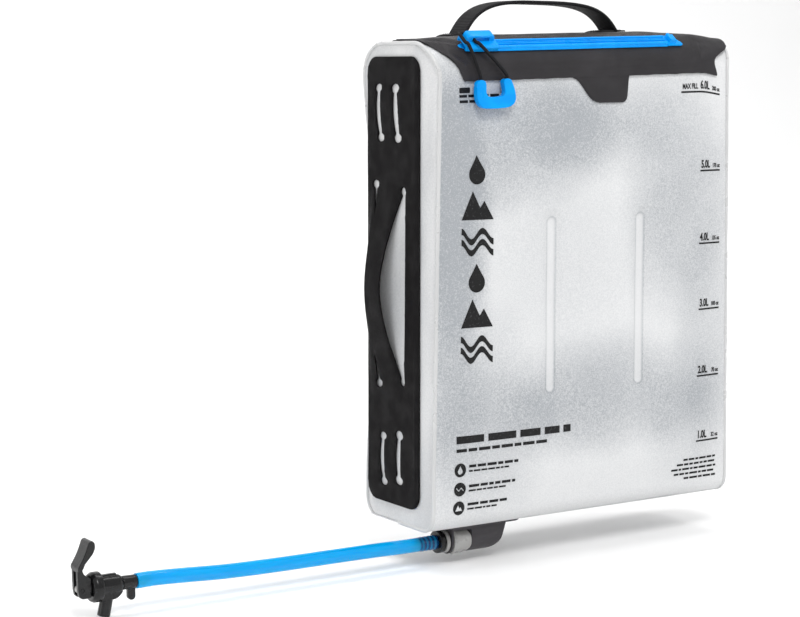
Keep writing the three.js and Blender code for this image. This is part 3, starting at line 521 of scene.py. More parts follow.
def ink_look():
    """Black print with a few pinholes."""
    m = Look("black_ink", Specular_IOR_Level=0.25)
    m.bump(m.noise(900, 2), 0.01)
    worn = m.remap(m.noise(700, 3), 0.55, 0.8)
    return m.done(m.mix(worn, (0.004, 0.004, 0.0045), (0.05, 0.05, 0.053)), m.spread(200, 0.42, 0.6))


LOOKS = {
    "film": film_look(),
    "weld": weld_look(),
    "band": cloth_look("coated_band", (0.021, 0.0195, 0.0215), (0.032, 0.0295, 0.0325), gloss=0.44,
                       weave_mm=0.55, depth_mm=0.03),
    "zip_blue": moulded_look("blue_plastic", (0.0, 0.27, 0.76), (0.0, 0.32, 0.84), 0.3, coat=0.03,
                             shine=0.12),
    "cord": braid_look(),
    "webbing": webbing_look(),
    "coated_fabric": cloth_look("black_coated_fabric", (0.0045, 0.004, 0.0045), (0.0085, 0.008, 0.0085),
                                shine=0.06),
    "port_grey": moulded_look("charcoal_plastic", (0.042, 0.039, 0.043), (0.054, 0.05, 0.055), 0.42,
                              grain=0.02, shine=0.25),
    "button_grey": moulded_look("pale_grey_plastic", (0.27, 0.267, 0.26), (0.33, 0.326, 0.318), 0.28,
                                coat=0.3),
    "tap_black": moulded_look("black_gloss_plastic", (0.004, 0.004, 0.0045), (0.008, 0.008, 0.0085), 0.24,
                              coat=0.12, shine=0.3),
    "hose_blue": hose_look(),
    "seal_rubber": moulded_look("seal_rubber", (0.012, 0.012, 0.013), (0.02, 0.02, 0.022), 0.6, shine=0.25),
    "steel": steel_look(),
}
SIDE_FILM = side_film_look()
INK = ink_look()

for entry in frame["record"]["subparts"]:
    cad = NODES[entry["node"]]
    cad.data.materials.clear()
    cad.data.materials.append(LOOKS[entry["material_slot"]])


# ---- mesh building ----
def outward(mesh):
    """Turns a mesh's faces outwards."""
    made = bmesh.new()
    made.from_mesh(mesh)
    bmesh.ops.recalc_face_normals(made, faces=made.faces)
    made.to_mesh(mesh)
    made.free()


def piece(name, points, faces, place, slot, body=None, replaces=(), look=None, sharp=40, strand=None):
    """One closed mesh from local points; strand holds a coordinate per point for a weave that follows it."""
    world = np.asarray(points, float) @ np.array(place.to_3x3()).T + np.array(place.translation)
    mesh = bpy.data.meshes.new(name)
    mesh.from_pydata(world.tolist(), [], faces)
    if strand is not None:
        attribute = mesh.attributes.new("strand", "FLOAT_VECTOR", "POINT")
        attribute.data.foreach_set("vector", np.asarray(strand, np.float32).ravel())
    outward(mesh)
    return dress(added(name, mesh), slot, body, replaces, look, sharp)


def dress(obj, slot, body=None, replaces=(), look=None, sharp=40):
    """Gives an object its material, smooth shading, slot, body and the CAD nodes that it stands for."""
    obj.data.materials.clear()
    obj.data.materials.append(look or LOOKS[slot])
    obj.data.shade_smooth()
    obj.data.set_sharp_from_angle(angle=math.radians(sharp))
    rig.slot(obj, slot)
    if replaces:
        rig.replaces(obj, *replaces)
    if body:
        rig.ride(obj, body)
    return obj


def joined(meshes):
    """Several meshes as one."""
    points, faces = [], []
    for more_points, more_faces in meshes:
        start = len(points)
        points += list(more_points)
        faces += [tuple(start + k for k in face) for face in more_faces]
    return points, faces


def lofted(rings):
    """A solid through equal rings of points, closed at both ends."""
    points = [point for ring in rings for point in ring]
    count = len(rings[0])
    faces = []
    for i in range(len(rings) - 1):
        for k in range(count):
            a, b = i * count + k, i * count + (k + 1) % count
            faces.append((a, b, b + count, a + count))
    faces.append(tuple(range(count)))
    faces.append(tuple(len(points) - count + k for k in reversed(range(count))))
    return points, faces


def sheet_mesh(outer, inner):
    """Points and faces of a sheet with thickness, from two equal grids of points."""
    rows, columns = outer.shape[:2]
    points = np.concatenate([outer.reshape(-1, 3), inner.reshape(-1, 3)])
    total = rows * columns
    faces = []
    for i in range(rows - 1):
        for j in range(columns - 1):
            a = i * columns + j
            cell = (a, a + 1, a + columns + 1, a + columns)
            faces.append(cell)
            faces.append(tuple(total + k for k in reversed(cell)))
    rim = [i * columns for i in range(rows)]
    rim += [(rows - 1) * columns + j for j in range(1, columns)]
    rim += [i * columns + columns - 1 for i in range(rows - 2, -1, -1)]
    rim += list(range(columns - 2, 0, -1))
    for k, a in enumerate(rim):
        b = rim[(k + 1) % len(rim)]
        faces.append((a, total + a, total + b, b))
    return points, faces


def turned_mesh(profile):
    """A turned solid about X from pairs of axial place and radius; a closed profile makes a ring."""
    sides = 56
    closed = tuple(profile[0]) == tuple(profile[-1])
    line = list(profile[:-1]) if closed else list(profile)
    points = []
    rings = []
    for along, r in line:
        if r < 1e-6:
            rings.append([len(points)] * sides)
            points.append((along, 0, 0))
            continue
        rings.append(list(range(len(points), len(points) + sides)))
        for k in range(sides):
            t = 2 * math.pi * k / sides
            points.append((along, r * math.cos(t), r * math.sin(t)))
    faces = []
    pairs = list(zip(rings, rings[1:] + rings[:1])) if closed else list(zip(rings, rings[1:]))
    for low, high in pairs:
        for k in range(sides):
            n = (k + 1) % sides
            face = list(dict.fromkeys((low[k], low[n], high[n], high[k])))
            if len(face) > 2:
                faces.append(tuple(face))
    return points, faces


def softened(profile, radius, steps=3):
    """The same outline with each corner replaced by a short curve."""
    points = [Vector(p) for p in profile]
    closed = tuple(profile[0]) == tuple(profile[-1])
    if closed:
        points = points[:-1]
    soft = []
    count = len(points)
    for i, p in enumerate(points):
        if not closed and i in (0, count - 1):
            soft.append(tuple(p))
            continue
        before, after = points[i - 1], points[(i + 1) % count]
        reach = min(radius, (before - p).length * 0.45, (after - p).length * 0.45)
        start = p + (before - p).normalized() * reach
        end = p + (after - p).normalized() * reach
        for k in range(steps + 1):
            t = k / steps
            soft.append(tuple(start * (1 - t) ** 2 + p * 2 * t * (1 - t) + end * t * t))
    return soft + [soft[0]] if closed else soft


def slab_mesh(outline, low, high):
    """An outline in X and Z pushed along Y from low to high."""
    count = len(outline)
    points = [(x, low, z) for x, z in outline] + [(x, high, z) for x, z in outline]
    flat = [Vector((x, z, 0)) for x, z in outline]
    fill = tessellate_polygon([flat])
    faces = [tuple(t) for t in fill] + [tuple(count + k for k in reversed(t)) for t in fill]
    faces += [(k, (k + 1) % count, count + (k + 1) % count, count + k) for k in range(count)]
    return points, faces


def box_mesh(x0, x1, y0, y1, z0, z1):
    return slab_mesh([(x0, z0), (x1, z0), (x1, z1), (x0, z1)], y0, y1)


def placed(mesh, turn):
    """The same mesh moved by a matrix in local millimetres."""
    points, faces = mesh
    return [tuple(turn @ Vector(p)) for p in points], faces


def loose(name, mesh, place):
    """A plain object in the frame's metres, for a boolean cut or a remesh."""
    points, faces = mesh
    data = bpy.data.meshes.new(name)
    data.from_pydata([place @ Vector(p) for p in points], [], faces)
    outward(data)
    return added(name, data)


def baked_mesh(obj):
    """An object's mesh with its modifiers, or a curve's, applied."""
    bpy.context.view_layer.update()
    return bpy.data.meshes.new_from_object(obj.evaluated_get(bpy.context.evaluated_depsgraph_get()))


def bake(obj):
    """Applies an object's modifiers to its mesh."""
    mesh = baked_mesh(obj)
    obj.modifiers.clear()
    obj.data = mesh


def flattened(name, curve):
    """The mesh of a filled curve or of lettering."""
    holder = added(name, curve)
    mesh = baked_mesh(holder)
    bpy.data.objects.remove(holder)
    return mesh


def fused(name, parts, cutters, place, slot, body, replaces, voxel=0.3, smooth=5, keep=0.5):
    """Parts melted into one moulding with soft inner corners, then cut."""
    obj = loose(name, joined(parts), place)
    remesh = obj.modifiers.new("melt", "REMESH")
    remesh.mode = "VOXEL"
    remesh.voxel_size = voxel / 1000
    soft = obj.modifiers.new("soft", "SMOOTH")
    soft.factor = 0.5
    soft.iterations = smooth
    thin = obj.modifiers.new("thin", "DECIMATE")
    thin.ratio = keep
    bake(obj)
    for i, cutter in enumerate(cutters):
        tool = loose(f"{name}_cut_{i}", cutter, place)
        cut = obj.modifiers.new("cut", "BOOLEAN")
        cut.operation = "DIFFERENCE"
        cut.object = tool
        cut.solver = "EXACT"
        bake(obj)
        bpy.data.objects.remove(tool)
    return dress(obj, slot, body, replaces, sharp=42)


def softened_copy(node, name, slot, body, width, angle=32):
    """A CAD piece's own shape with rounded edges."""
    source = NODES[node].data.copy()
    made = bmesh.new()
    made.from_mesh(source)
    bmesh.ops.remove_doubles(made, verts=made.verts, dist=1e-6)
    bmesh.ops.dissolve_limit(made, angle_limit=math.radians(2), verts=made.verts, edges=made.edges)
    made.to_mesh(source)
    made.free()
    obj = added(name, source)
    bevel = obj.modifiers.new("edges", "BEVEL")
    bevel.width = width / 1000
    bevel.segments = 3
    bevel.limit_method = "ANGLE"
    bevel.angle_limit = math.radians(angle)
    bevel.use_clamp_overlap = True
    bake(obj)
    return dress(obj, slot, body, (node,), sharp=50)


def smooth_path(points, count):
    """Evenly many points on a smooth curve through the given ones."""
    p = np.array(points, float)
    padded = np.vstack([2 * p[0] - p[1], p, 2 * p[-1] - p[-2]])
    line = []
    for i in range(1, len(padded) - 2):
        a, b, c, d = padded[i - 1:i + 3]
        for t in np.linspace(0, 1, 24, endpoint=False):
            line.append(0.5 * (2 * b + (c - a) * t + (2 * a - 5 * b + 4 * c - d) * t ** 2
                               + (3 * b - a - 3 * c + d) * t ** 3))
    line.append(p[-1])
    line = np.array(line)
    run = np.concatenate([[0], np.cumsum(np.linalg.norm(np.diff(line, axis=0), axis=1))])
    even = np.linspace(0, run[-1], count)
    return np.stack([np.interp(even, run, line[:, k]) for k in range(3)], axis=1)


def tube_mesh(path, radii, sides=20, bore=None):
    """A tube along points with a radius at each, hollow if it has a bore, and its strand coordinates."""
    path = np.asarray(path, float)
    radii = np.broadcast_to(np.asarray(radii, float), (len(path),))
    tangents = np.gradient(path, axis=0)
    tangents /= np.linalg.norm(tangents, axis=1)[:, None]
    side = np.cross(tangents[0], (0.13, 0.97, 0.2))
    run = np.concatenate([[0], np.cumsum(np.linalg.norm(np.diff(path, axis=0), axis=1))])
    points, strand = [], []
    layers = [radii] if bore is None else [radii, np.full(len(path), float(bore))]
    frames = []
    for t in tangents:
        side = side - t * side.dot(t)
        side /= np.linalg.norm(side)
        frames.append((side.copy(), np.cross(t, side)))
    for layer in layers:
        for centre, r, (u, v), s in zip(path, layer, frames, run):
            for k in range(sides):
                turn = 2 * math.pi * k / sides
                points.append(centre + r * (math.cos(turn) * u + math.sin(turn) * v))
                strand.append((turn, s / 1000, 0))
    rings = len(path)
    def at(layer, i, k):
        return (layer * rings + i) * sides + k % sides
    def band(start, end):
        return [(at(*start, k), at(*start, k + 1), at(*end, k + 1), at(*end, k)) for k in range(sides)]
    faces = []
    for layer in range(len(layers)):
        for i in range(rings - 1):
            faces += band((layer, i), (layer, i + 1))
    for i in (0, rings - 1):
        faces += [tuple(at(0, i, k) for k in range(sides))] if bore is None else band((0, i), (1, i))
    return points, faces, strand


# ---- the hose ----
HOSE_ROUTE = [
    (-113.4, -354.2), (-139, -354.2), (-165, -353.7), (-202, -353.4), (-242, -353.2), (-280, -352.4),
    (-312, -350.6), (-333, -349.6), (-346.2, -349.6),
]


def make_hose():
    """The tube swells over the plug's four barbs and over the tap's."""
    path = smooth_path([(x, HOSE_Y, z) for x, z in HOSE_ROUTE], 200)
    swell = np.zeros(len(path))
    for i in range(4):
        swell += 0.28 * np.exp(-(((path[:, 0] + 115.2 + 3.4 * i) / 1.0) ** 2))
    for barb in (-343.6, -340.6, -337.1):
        swell += 0.2 * np.exp(-(((path[:, 0] - barb) / 1.1) ** 2))
    points, faces, strand = tube_mesh(path, HOSE_RADIUS + swell, 40, HOSE_BORE)
    hose = piece("hose_tube", points, faces, BAG, "hose_blue", "hose_line", ("outlet_hose",), strand=strand)
    return hose, [tuple(BAG @ Vector(p)) for p in path]


hose, hose_path = make_hose()


# ---- the film shell ----
def step(low, high, x):
    t = np.clip((x - low) / (high - low), 0, 1)
    return t * t * (3 - 2 * t)


def outline(walk):
    """Place and outward direction on the side outline: a walk from the top's middle, positive in front."""
    s = abs(walk)
    if s > FLOOR_START:
        y, z, ny, nz = s - OUTLINE_END, -HEIGHT, 0, -1
    elif s > WALL_END:
        t = (s - WALL_END) / BOTTOM_RADIUS
        y = -HALF_DEPTH + BOTTOM_RADIUS * (1 - math.cos(t))
        z = BOTTOM_RADIUS - HEIGHT - BOTTOM_RADIUS * math.sin(t)
        ny, nz = -math.cos(t), -math.sin(t)
    elif s > WALL_START:
        y, z, ny, nz = -HALF_DEPTH, -TOP_RADIUS - (s - WALL_START), -1, 0
    elif s > HALF_TOP:
        t = (s - HALF_TOP) / TOP_RADIUS
        y = -HALF_TOP - TOP_RADIUS * math.sin(t)
        z = -TOP_RADIUS * (1 - math.cos(t))
        ny, nz = -math.sin(t), math.cos(t)
    else:
        y, z, ny, nz = -s, 0, 0, 1
    side = -1 if walk < 0 else 1
    return y * side, z, ny * side, nz


OFF_CROWN = -99


def rise(x, walk, z):
    """How far the handle and the sewn zip lift the top of the bag."""
    drop = 4.6 * step(100, 136, x)
    rim = (RIM_SLOPE * x - drop) * step(-70, -25, z)
    middle = 1 - step(70, 120, abs(x - HANDLE_CENTRE))
    rear = 1 - step(8, 26, walk) if walk > 0 else step(-57, -30, walk)
    return rim + CROWN_RISE * middle * rear


def puff(x, z):
    """The water's push between the welded corners and the two inner webs."""
    across = 1 - (x / HALF_WIDTH) ** 4
    down = step(-40, -95, z) * step(4 - HEIGHT, 44 - HEIGHT, z)
    tied = step(BAFFLE_BOTTOM - 8, BAFFLE_BOTTOM + 4, z) * (1 - step(BAFFLE_TOP - 4, BAFFLE_TOP + 8, z))
    held = sum(math.exp(-(((x - b) / 8) ** 2)) for b in BAFFLES)
    return BULGE * across * down * (1 - min(1, held) * tied)


CREASES = [
    # from x, z to x, z in bag millimetres, then width and height: the film's folds where it is pulled
    (-128, -36, -98, -52, 5, 0.8), (-126, -58, -84, -70, 8, 0.5), (-122, -318, -84, -300, 6, 0.6),
    (-126, -300, -100, -268, 7, 0.5), (122, -300, 92, -316, 6, 0.4), (120, -40, 92, -58, 7, 0.6),
    (-34, -118, -46, -96, 4, 0.5), (46, -119, 58, -96, 4, 0.5), (-34, -256, -30, -282, 4, 0.6),
    (-38, -256, -52, -276, 4, 0.4), (46, -257, 52, -282, 4, 0.5), (42, -257, 34, -276, 4, 0.3),
    (10, -50, -10, -66, 7, 0.5), (-60, -40, -52, -62, 6, 0.4), (70, -44, 60, -66, 6, 0.4),
    (108, -180, 104, -240, 9, 0.5), (-120, -150, -118, -220, 8, 0.5),
]


def crease(x, z):
    """The height of the film's folds at a place."""
    total = 0
    for x0, z0, x1, z1, wide, tall in CREASES:
        dx, dz = x1 - x0, z1 - z0
        t = ((x - x0) * dx + (z - z0) * dz) / (dx * dx + dz * dz)
        if -0.2 < t < 1.2:
            off = abs((x - x0) * dz - (z - z0) * dx) / math.hypot(dx, dz)
            total += tall * math.exp(-((off / wide) ** 2)) * math.sin(math.pi * (t + 0.2) / 1.4) ** 2
    return total


def stripe(x, z):
    """The flat sealed stripe over each inner web, with a low ridge of melted film around it."""
    total = 0
    for b in BAFFLES:
        if abs(x - b) > 9 or not BAFFLE_BOTTOM - 9 < z < BAFFLE_TOP + 9:
            continue
        past = max(z - (BAFFLE_TOP - BAFFLE_HALF), (BAFFLE_BOTTOM + BAFFLE_HALF) - z, 0)
        edge = math.hypot(x - b, past) - BAFFLE_HALF
        total += 0.35 * math.exp(-((edge / 0.55) ** 2)) - 0.5 * (1 - step(-0.6, 0.3, edge))
    return total


def tuck(z, rear=False):
    """How far the filled bag's upright edges are drawn in: most near the top in front, lower down behind."""
    if rear:
        return 6 * step(-14, -100, z) * (1 - 0.6 * step(-230, -320, z))
    return (5.6 + 0.0165 * (z + 30)) * step(0, -24, z)


def skin(x, walk, out, fine=True):
    """A point on the bag, `out` millimetres off its film; `fine` adds the folds and stripes of the walls."""
    y, z, ny, nz = outline(walk)
    off = out + puff(x, z)
    if fine:
        free = step(58, 74, abs(walk)) * step(3, 12, HALF_WIDTH - abs(x))
        rough = 0.5 * noise.noise(Vector((x / 38, z / 52, 3 if walk < 0 else 0)))
        off += free * (rough + crease(x if walk > 0 else -x, z)) + stripe(x, z)
    drawn = x - math.copysign(tuck(z, walk < 0), x) * step(100, HALF_WIDTH, abs(x))
    return drawn, y + ny * off, z + nz * off + rise(x, walk, z)


def grid(rows, columns, place):
    return np.array([[place(r, c) for c in columns] for r in rows], float)


def fine_columns(start, end, coarse, marks, reach=7, near=0.9):
    """Columns `coarse` apart, and `near` apart within `reach` of each mark."""
    columns = list(np.linspace(start, end, round((end - start) / coarse) + 1))
    columns = [c for c in columns if all(abs(c - m) > reach for m in marks)]
    for m in marks:
        columns += list(np.linspace(m - reach, m + reach, round(2 * reach / near) + 1))
    return sorted(columns)


def make_walls():
    """Front and back films: each climbs under the band, and at the corners to the middle of the top."""
    columns = fine_columns(-PANEL_X, PANEL_X, 3.4, BAFFLES)
    top, bottom = WALL_START - TOP_RADIUS - BAFFLE_TOP, WALL_START - TOP_RADIUS - BAFFLE_BOTTOM
    downs = fine_columns(PANEL_TOP, PANEL_LOW, 3.6, (top, bottom), reach=8, near=1.1)
    over = list(np.linspace(0, 1, 12, endpoint=False))
    for name, node, side in (("front_film", "front_panel", 1), ("back_film", "back_panel", -1)):
        def place(out):
            def point(row, x):
                corner = max(1 - step(-122, -106, x), step(114, 126, x))
                first = PANEL_TOP - 45.6 * corner
                walk = first + (PANEL_TOP - first) * row if row < 1 else row
                return skin(x, side * walk, out)
            return point
        rows = over + downs
        points, faces = sheet_mesh(grid(rows, columns, place(0)), grid(rows, columns, place(-FILM)))
        piece(name, points, faces, BAG, "film", "reservoir", (node,))


def make_floor():
    """A flat sheet between its welds, with finer cells over the port."""
    drain_x = -74
    xs = fine_columns(-PANEL_X, PANEL_X, 6, (drain_x,), reach=5, near=1.0)
    ys = fine_columns(-FLOOR_HALF, FLOOR_HALF, 5, (HOSE_Y,), reach=5, near=1.0)
    def place(out):
        def point(y, x):
            return x, y, -HEIGHT - out
        return point
    points, faces = sheet_mesh(grid(ys, xs, place(0)), grid(ys, xs, place(-FILM)))
    piece("floor_film", points, faces, BAG, "film", "reservoir", ("floor_panel",), look=SIDE_FILM)


def side_half(z):
    """Half the depth of a side panel at a height."""
    inset = 1.1
    up = max(0, z + TOP_RADIUS)
    low = BOTTOM_RADIUS - HEIGHT
    down = max(0, low - z)
    if up:
        return HALF_TOP + math.sqrt(max(0, (TOP_RADIUS - inset) ** 2 - up ** 2))
    return HALF_DEPTH - BOTTOM_RADIUS + math.sqrt(max(0, (BOTTOM_RADIUS - inset) ** 2 - down ** 2))


def side_point(side, u, z, out):
    """A point on a side panel: flat behind the lash panel, rolling in to the drawn-in welded edges."""
    rolled = tuck(z) * step(-0.70, -1, u) + tuck(z, rear=True) * step(0.84, 1, u)
    edge = step(0.78, 0.9, abs(u)) * (1 - step(0.93, 1, abs(u)))
    pucker = 0.3 * edge * (math.sin(z / 9.3 + 2 * u) + math.sin(z / 5.1))
    rough = 0.3 * noise.noise(Vector((u * 2, z / 30, 7 * side))) * (1 - abs(u) ** 8)
    x = side * (HALF_WIDTH - 0.6 - rolled + out + min(0, pucker + rough))
    return x, u * side_half(z), z + rise(side * HALF_WIDTH, OFF_CROWN, z)


def make_sides():
    """The side films, from the top's edge down to the floor weld."""
    low = BOTTOM_RADIUS - HEIGHT
    downs = [-1.2, -1.8, -2.8, -4.2, -6, -8.5, -11, -14, -17, -20.5] + list(np.linspace(-24, low, 84))
    downs += [-331, -333, -335, -337, -338.4, -339.3]
    across = list(np.sin(np.linspace(-math.pi / 2, math.pi / 2, 31)))
    for side, word in ((-1, "left"), (1, "right")):
        def place(out):
            return lambda z, u: side_point(side, u, z, out)
        points, faces = sheet_mesh(grid(downs, across, place(0)), grid(downs, across, place(-FILM)))
        piece(f"side_film_{word}", points, faces, BAG, "film", "reservoir", (f"gusset_{word}",),
              look=SIDE_FILM)


def make_welds():
    """The welded edges: a round bead down the front, under the floor and up the rear of each side."""
    for side, word in ((-1, "left"), (1, "right")):
        path = []
        for walk in np.linspace(0, 2 * OUTLINE_END, 420):
            around = walk if walk < OUTLINE_END else walk - 2 * OUTLINE_END
            y, z, ny, nz = outline(around)
            waver = 0.05 * math.sin(walk / 6.1)
            x = side * (HALF_WIDTH - 0.95 - tuck(z, around < 0))
            lift = rise(side * HALF_WIDTH, OFF_CROWN, z)
            path.append((x, y - ny * (0.3 - waver), z - nz * (0.3 - waver) + lift))
        radii = [1.38 + 0.08 * math.sin(k / 3.9) + 0.05 * math.sin(k / 1.7) for k in range(len(path))]
        points, faces, _ = tube_mesh(path, radii, 14)
        piece(f"edge_weld_{word}", points, faces, BAG, "weld", "reservoir", (f"weld_{word}",))
    for side, word in ((1, "front"), (-1, "back")):
        y, z, _, _ = outline(side * PANEL_LOW)
        xs = np.linspace(-PANEL_X + 0.6, PANEL_X - 0.6, 120)
        path = [(x, y, z + 0.5) for x in xs]
        radii = [0.95 + 0.06 * math.sin(x / 4.3) for x in xs]
        points, faces, _ = tube_mesh(path, radii, 14)
        piece(f"floor_weld_{word}", points, faces, BAG, "weld", "reservoir", (f"weld_{word}_bottom",),
              look=SIDE_FILM)


make_walls()
make_floor()
make_sides()
make_welds()


# ---- the closure band ----
def band_relief(x, walk):
    """The rounded weld line around the zip, and the folds that run out of the zip's two ends."""
    end_x, half_x, half_walk, turn = -8, 114, 17.5, 15
    dx = max(abs(x - end_x) - (half_x - turn), 0)
    dw = max(abs(walk - ZIP_LINE) - (half_walk - turn), 0)
    edge = math.hypot(dx, dw) - turn
    relief = -0.6 * math.exp(-((edge / 1.0) ** 2)) + 0.6 * (1 - step(-2.6, -0.6, edge))
    near_front = step(-6, 12, walk) * (1 - step(52, 60, walk))
    left = step(-98, -116, x) * (1 - step(-124, -133, x))
    relief += 0.9 * left * near_front * math.sin((walk - 0.45 * (x + 100)) / 2.1)
    right = step(92, 106, x) * (1 - step(122, 132, x))
    relief += 0.6 * right * near_front * math.sin((walk + 0.4 * (x - 100)) / 3.9)
    relief += 0.3 * noise.noise(Vector((x / 26, walk / 14, 5)))
    return relief


BAND_LEFT = (
    # place down the outline, then the band's end there: it runs out to an ear at each corner of the top
    (-58, -110), (-44, -114), (-30, -121), (-14, -126), (-4, -133), (2, -134.4), (20, -134), (29, -132.5),
    (40, -126), (50, -117), (56, -114), (59, -112), (61.5, -110),
)
BAND_RIGHT = (
    (-58, 118), (-52, 121), (-46, 118), (-38, 128), (-30, 132), (0, 133), (24, 133), (32, 132.6),
    (38, 132.4), (41, 130), (44, 125), (48, 119), (50.5, 117.2), (53, 117.6), (57, 120.2), (60, 121),
    (61.5, 119.6),
)


def band_end(table, walk):
    """Where the band ends sideways at a walk."""
    return float(np.interp(walk, *zip(*table)))


def make_band():
    """The coated band over the top, its front edge a little uneven and its ends drawn out to ears."""
    def lowest(x):
        return BAND_FRONT + 0.35 * noise.noise(Vector((x / 9, 0, 2)))
    def ear(x, walk):
        out = step(112, 133, x) * step(16, 34, walk) * (1 - step(40, 52, walk))
        return 2.4 * out + 0.8 * step(120, 134, -x) * (1 - step(4, 24, abs(walk)))
    def place(extra):
        def point(u, column):
            if abs(u) < 0.012:
                walk = ZIP_LINE + 200 * u
            elif u > 0:
                walk = ZIP_LINE + 2 + (lowest(column) - ZIP_LINE - 2) * u
            else:
                walk = ZIP_LINE - 2 + (ZIP_LINE - 2 - BAND_REAR) * u
            x = column
            if column < -100:
                x = -100 + (column + 100) / 31 * (-100 - band_end(BAND_LEFT, walk))
            elif column > 100:
                x = 100 + (column - 100) / 31 * (band_end(BAND_RIGHT, walk) - 100)
            clear = step(0.9, 7, abs(walk - ZIP_LINE)) if abs(x) < 104 else 1
            rim = 1 - step(0.97, 1, abs(u))
            relief = max(band_relief(x, walk) * clear * rim, -0.6) if extra else 0
            return skin(x, walk, BAND_OUT + ear(x, walk) + extra + relief, fine=False)
        return point
    columns = list(np.linspace(-131, -100, 28)) + list(np.linspace(-98, 82, 80))
    columns += list(np.linspace(84, 100, 12)) + list(np.linspace(101.5, 131, 24))
    below = [0.0099, 0.03, 0.07, 0.12, 0.18, 0.25, 0.33, 0.41, 0.49]
    below += [0.57, 0.65, 0.73, 0.8, 0.87, 0.93, 0.97, 1]
    above = list(-np.linspace(0.012, 0.2, 14)) + list(-np.linspace(0.22, 0.97, 44)) + [-1]
    rows = sorted(above) + [-0.0099] + below
    points, faces = sheet_mesh(grid(rows, columns, place(BAND_THICK)), grid(rows, columns, place(0)))
    piece("mouth_band", points, faces, BAG, "band", "reservoir", ("closure_band",))


def bezier(start, *rest, steps=10):
    """Points of a curve from start; rest is control points and the end, without the start itself."""
    control = [Vector(start), *map(Vector, rest)]
    degree = len(control) - 1
    line = []
    for k in range(1, steps + 1):
        t = k / steps
        total = Vector((0, 0))
        for i, c in enumerate(control):
            total += c * math.comb(degree, i) * t ** i * (1 - t) ** (degree - i)
        line.append(tuple(total))
    return line


def gridded(outline_points, spacing, holes=()):
    """A flat outline filled and cut into cells, as a bmesh in its own plane."""
    curve = bpy.data.curves.new("outline", "CURVE")
    curve.dimensions = "2D"
    curve.fill_mode = "BOTH"
    for ring in (outline_points, *holes):
        spline = curve.splines.new("POLY")
        spline.points.add(len(ring) - 1)
        for point, (u, v) in zip(spline.points, ring):
            point.co = (u, v, 0, 1)
        spline.use_cyclic_u = True
    return cut_in_cells(flattened("outline", curve), spacing)


def cut_in_cells(mesh, spacing):
    """A flat mesh cut along a square grid, as a bmesh."""
    made = bmesh.new()
    made.from_mesh(mesh)
    bmesh.ops.remove_doubles(made, verts=made.verts, dist=1e-5)
    for axis in (0, 1):
        values = [v.co[axis] for v in made.verts]
        low, high = min(values), max(values)
        for cut in np.arange(math.ceil(low / spacing) * spacing, high, spacing):
            where = Vector((0, 0, 0))
            where[axis] = cut
            normal = Vector((0, 0, 0))
            normal[axis] = 1
            geometry = made.verts[:] + made.edges[:] + made.faces[:]
            bmesh.ops.bisect_plane(made, geom=geometry, plane_co=where, plane_no=normal, dist=1e-5)
    return made


def plate(name, flat, lift, thick, slot, body, replaces=(), look=None, round_edge=0.0):
    """A flat gridded bmesh mapped onto a surface by lift(u, v, out), and given thickness."""
    flat.verts.index_update()
    count = len(flat.verts)
    where = [(v.co.x, v.co.y) for v in flat.verts]
    rim = {v.index for e in flat.edges if len(e.link_faces) == 1 for v in e.verts}
    points = [lift(u, v, thick - (round_edge if i in rim else 0)) for i, (u, v) in enumerate(where)]
    points += [lift(u, v, 0) for u, v in where]
    faces = []
    for face in flat.faces:
        ring = [v.index for v in face.verts]
        faces.append(tuple(ring))
        faces.append(tuple(count + i for i in reversed(ring)))
    for e in flat.edges:
        if len(e.link_faces) == 1:
            a, b = e.verts[0].index, e.verts[1].index
            faces.append((a, b, count + b, count + a))
    flat.free()
    return piece(name, points, faces, BAG, slot, body, replaces, look)


def make_tab():
    """The pull tab hangs from the band's edge, its free corners rounded."""
    top = -26.2
    ring = [(-17, top), (-16, top - 1.8)]
    ring += bezier((-16, top - 1.8), (-6, top - 4), (-4, top - 19), (8, top - 19.2))
    ring += [(27, top - 19.2)]
    ring += bezier((27, top - 19.2), (32.5, top - 19.2), (32.8, top - 13))
    ring += [(34, top)]
    spacing = 2.0
    def lift(x, z, out):
        hang = 0.25 * step(top - 4, top - 19, z) + 0.12 * math.sin(x / 4)
        return x, -HALF_DEPTH - 0.3 - hang * 0.5 - out - 0.35 * step(-28.5, -26.2, z), z
    tab = plate("band_tab", gridded(ring, spacing), lift, 1.0, "band", None, ("pull_tab",), round_edge=0.25)
    start = BAG @ Vector((8, -HALF_DEPTH, -26))
    end = BAG @ Vector((8, -HALF_DEPTH, -30))
    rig.blend(tab, "reservoir", "tab", start=tuple(start), end=tuple(end))


make_band()
make_tab()

# ---- the sealing zip, in a frame on the front shoulder: X along it, Y up the slope, Z outward ----
shoulder_y, shoulder_z, shoulder_ny, shoulder_nz = outline(ZIP_LINE)
RIM = BAG @ Matrix.Translation((0, shoulder_y, shoulder_z)) @ Matrix.Rotation(-math.asin(RIM_SLOPE), 4, "Y")
ZIP = RIM @ Matrix.Rotation(math.atan2(-shoulder_ny, shoulder_nz), 4, "X")
TRACK_BASE = BAND_OUT + BAND_THICK + GAP
DECK = TRACK_BASE + 5
SLIDER_LEFT = -107


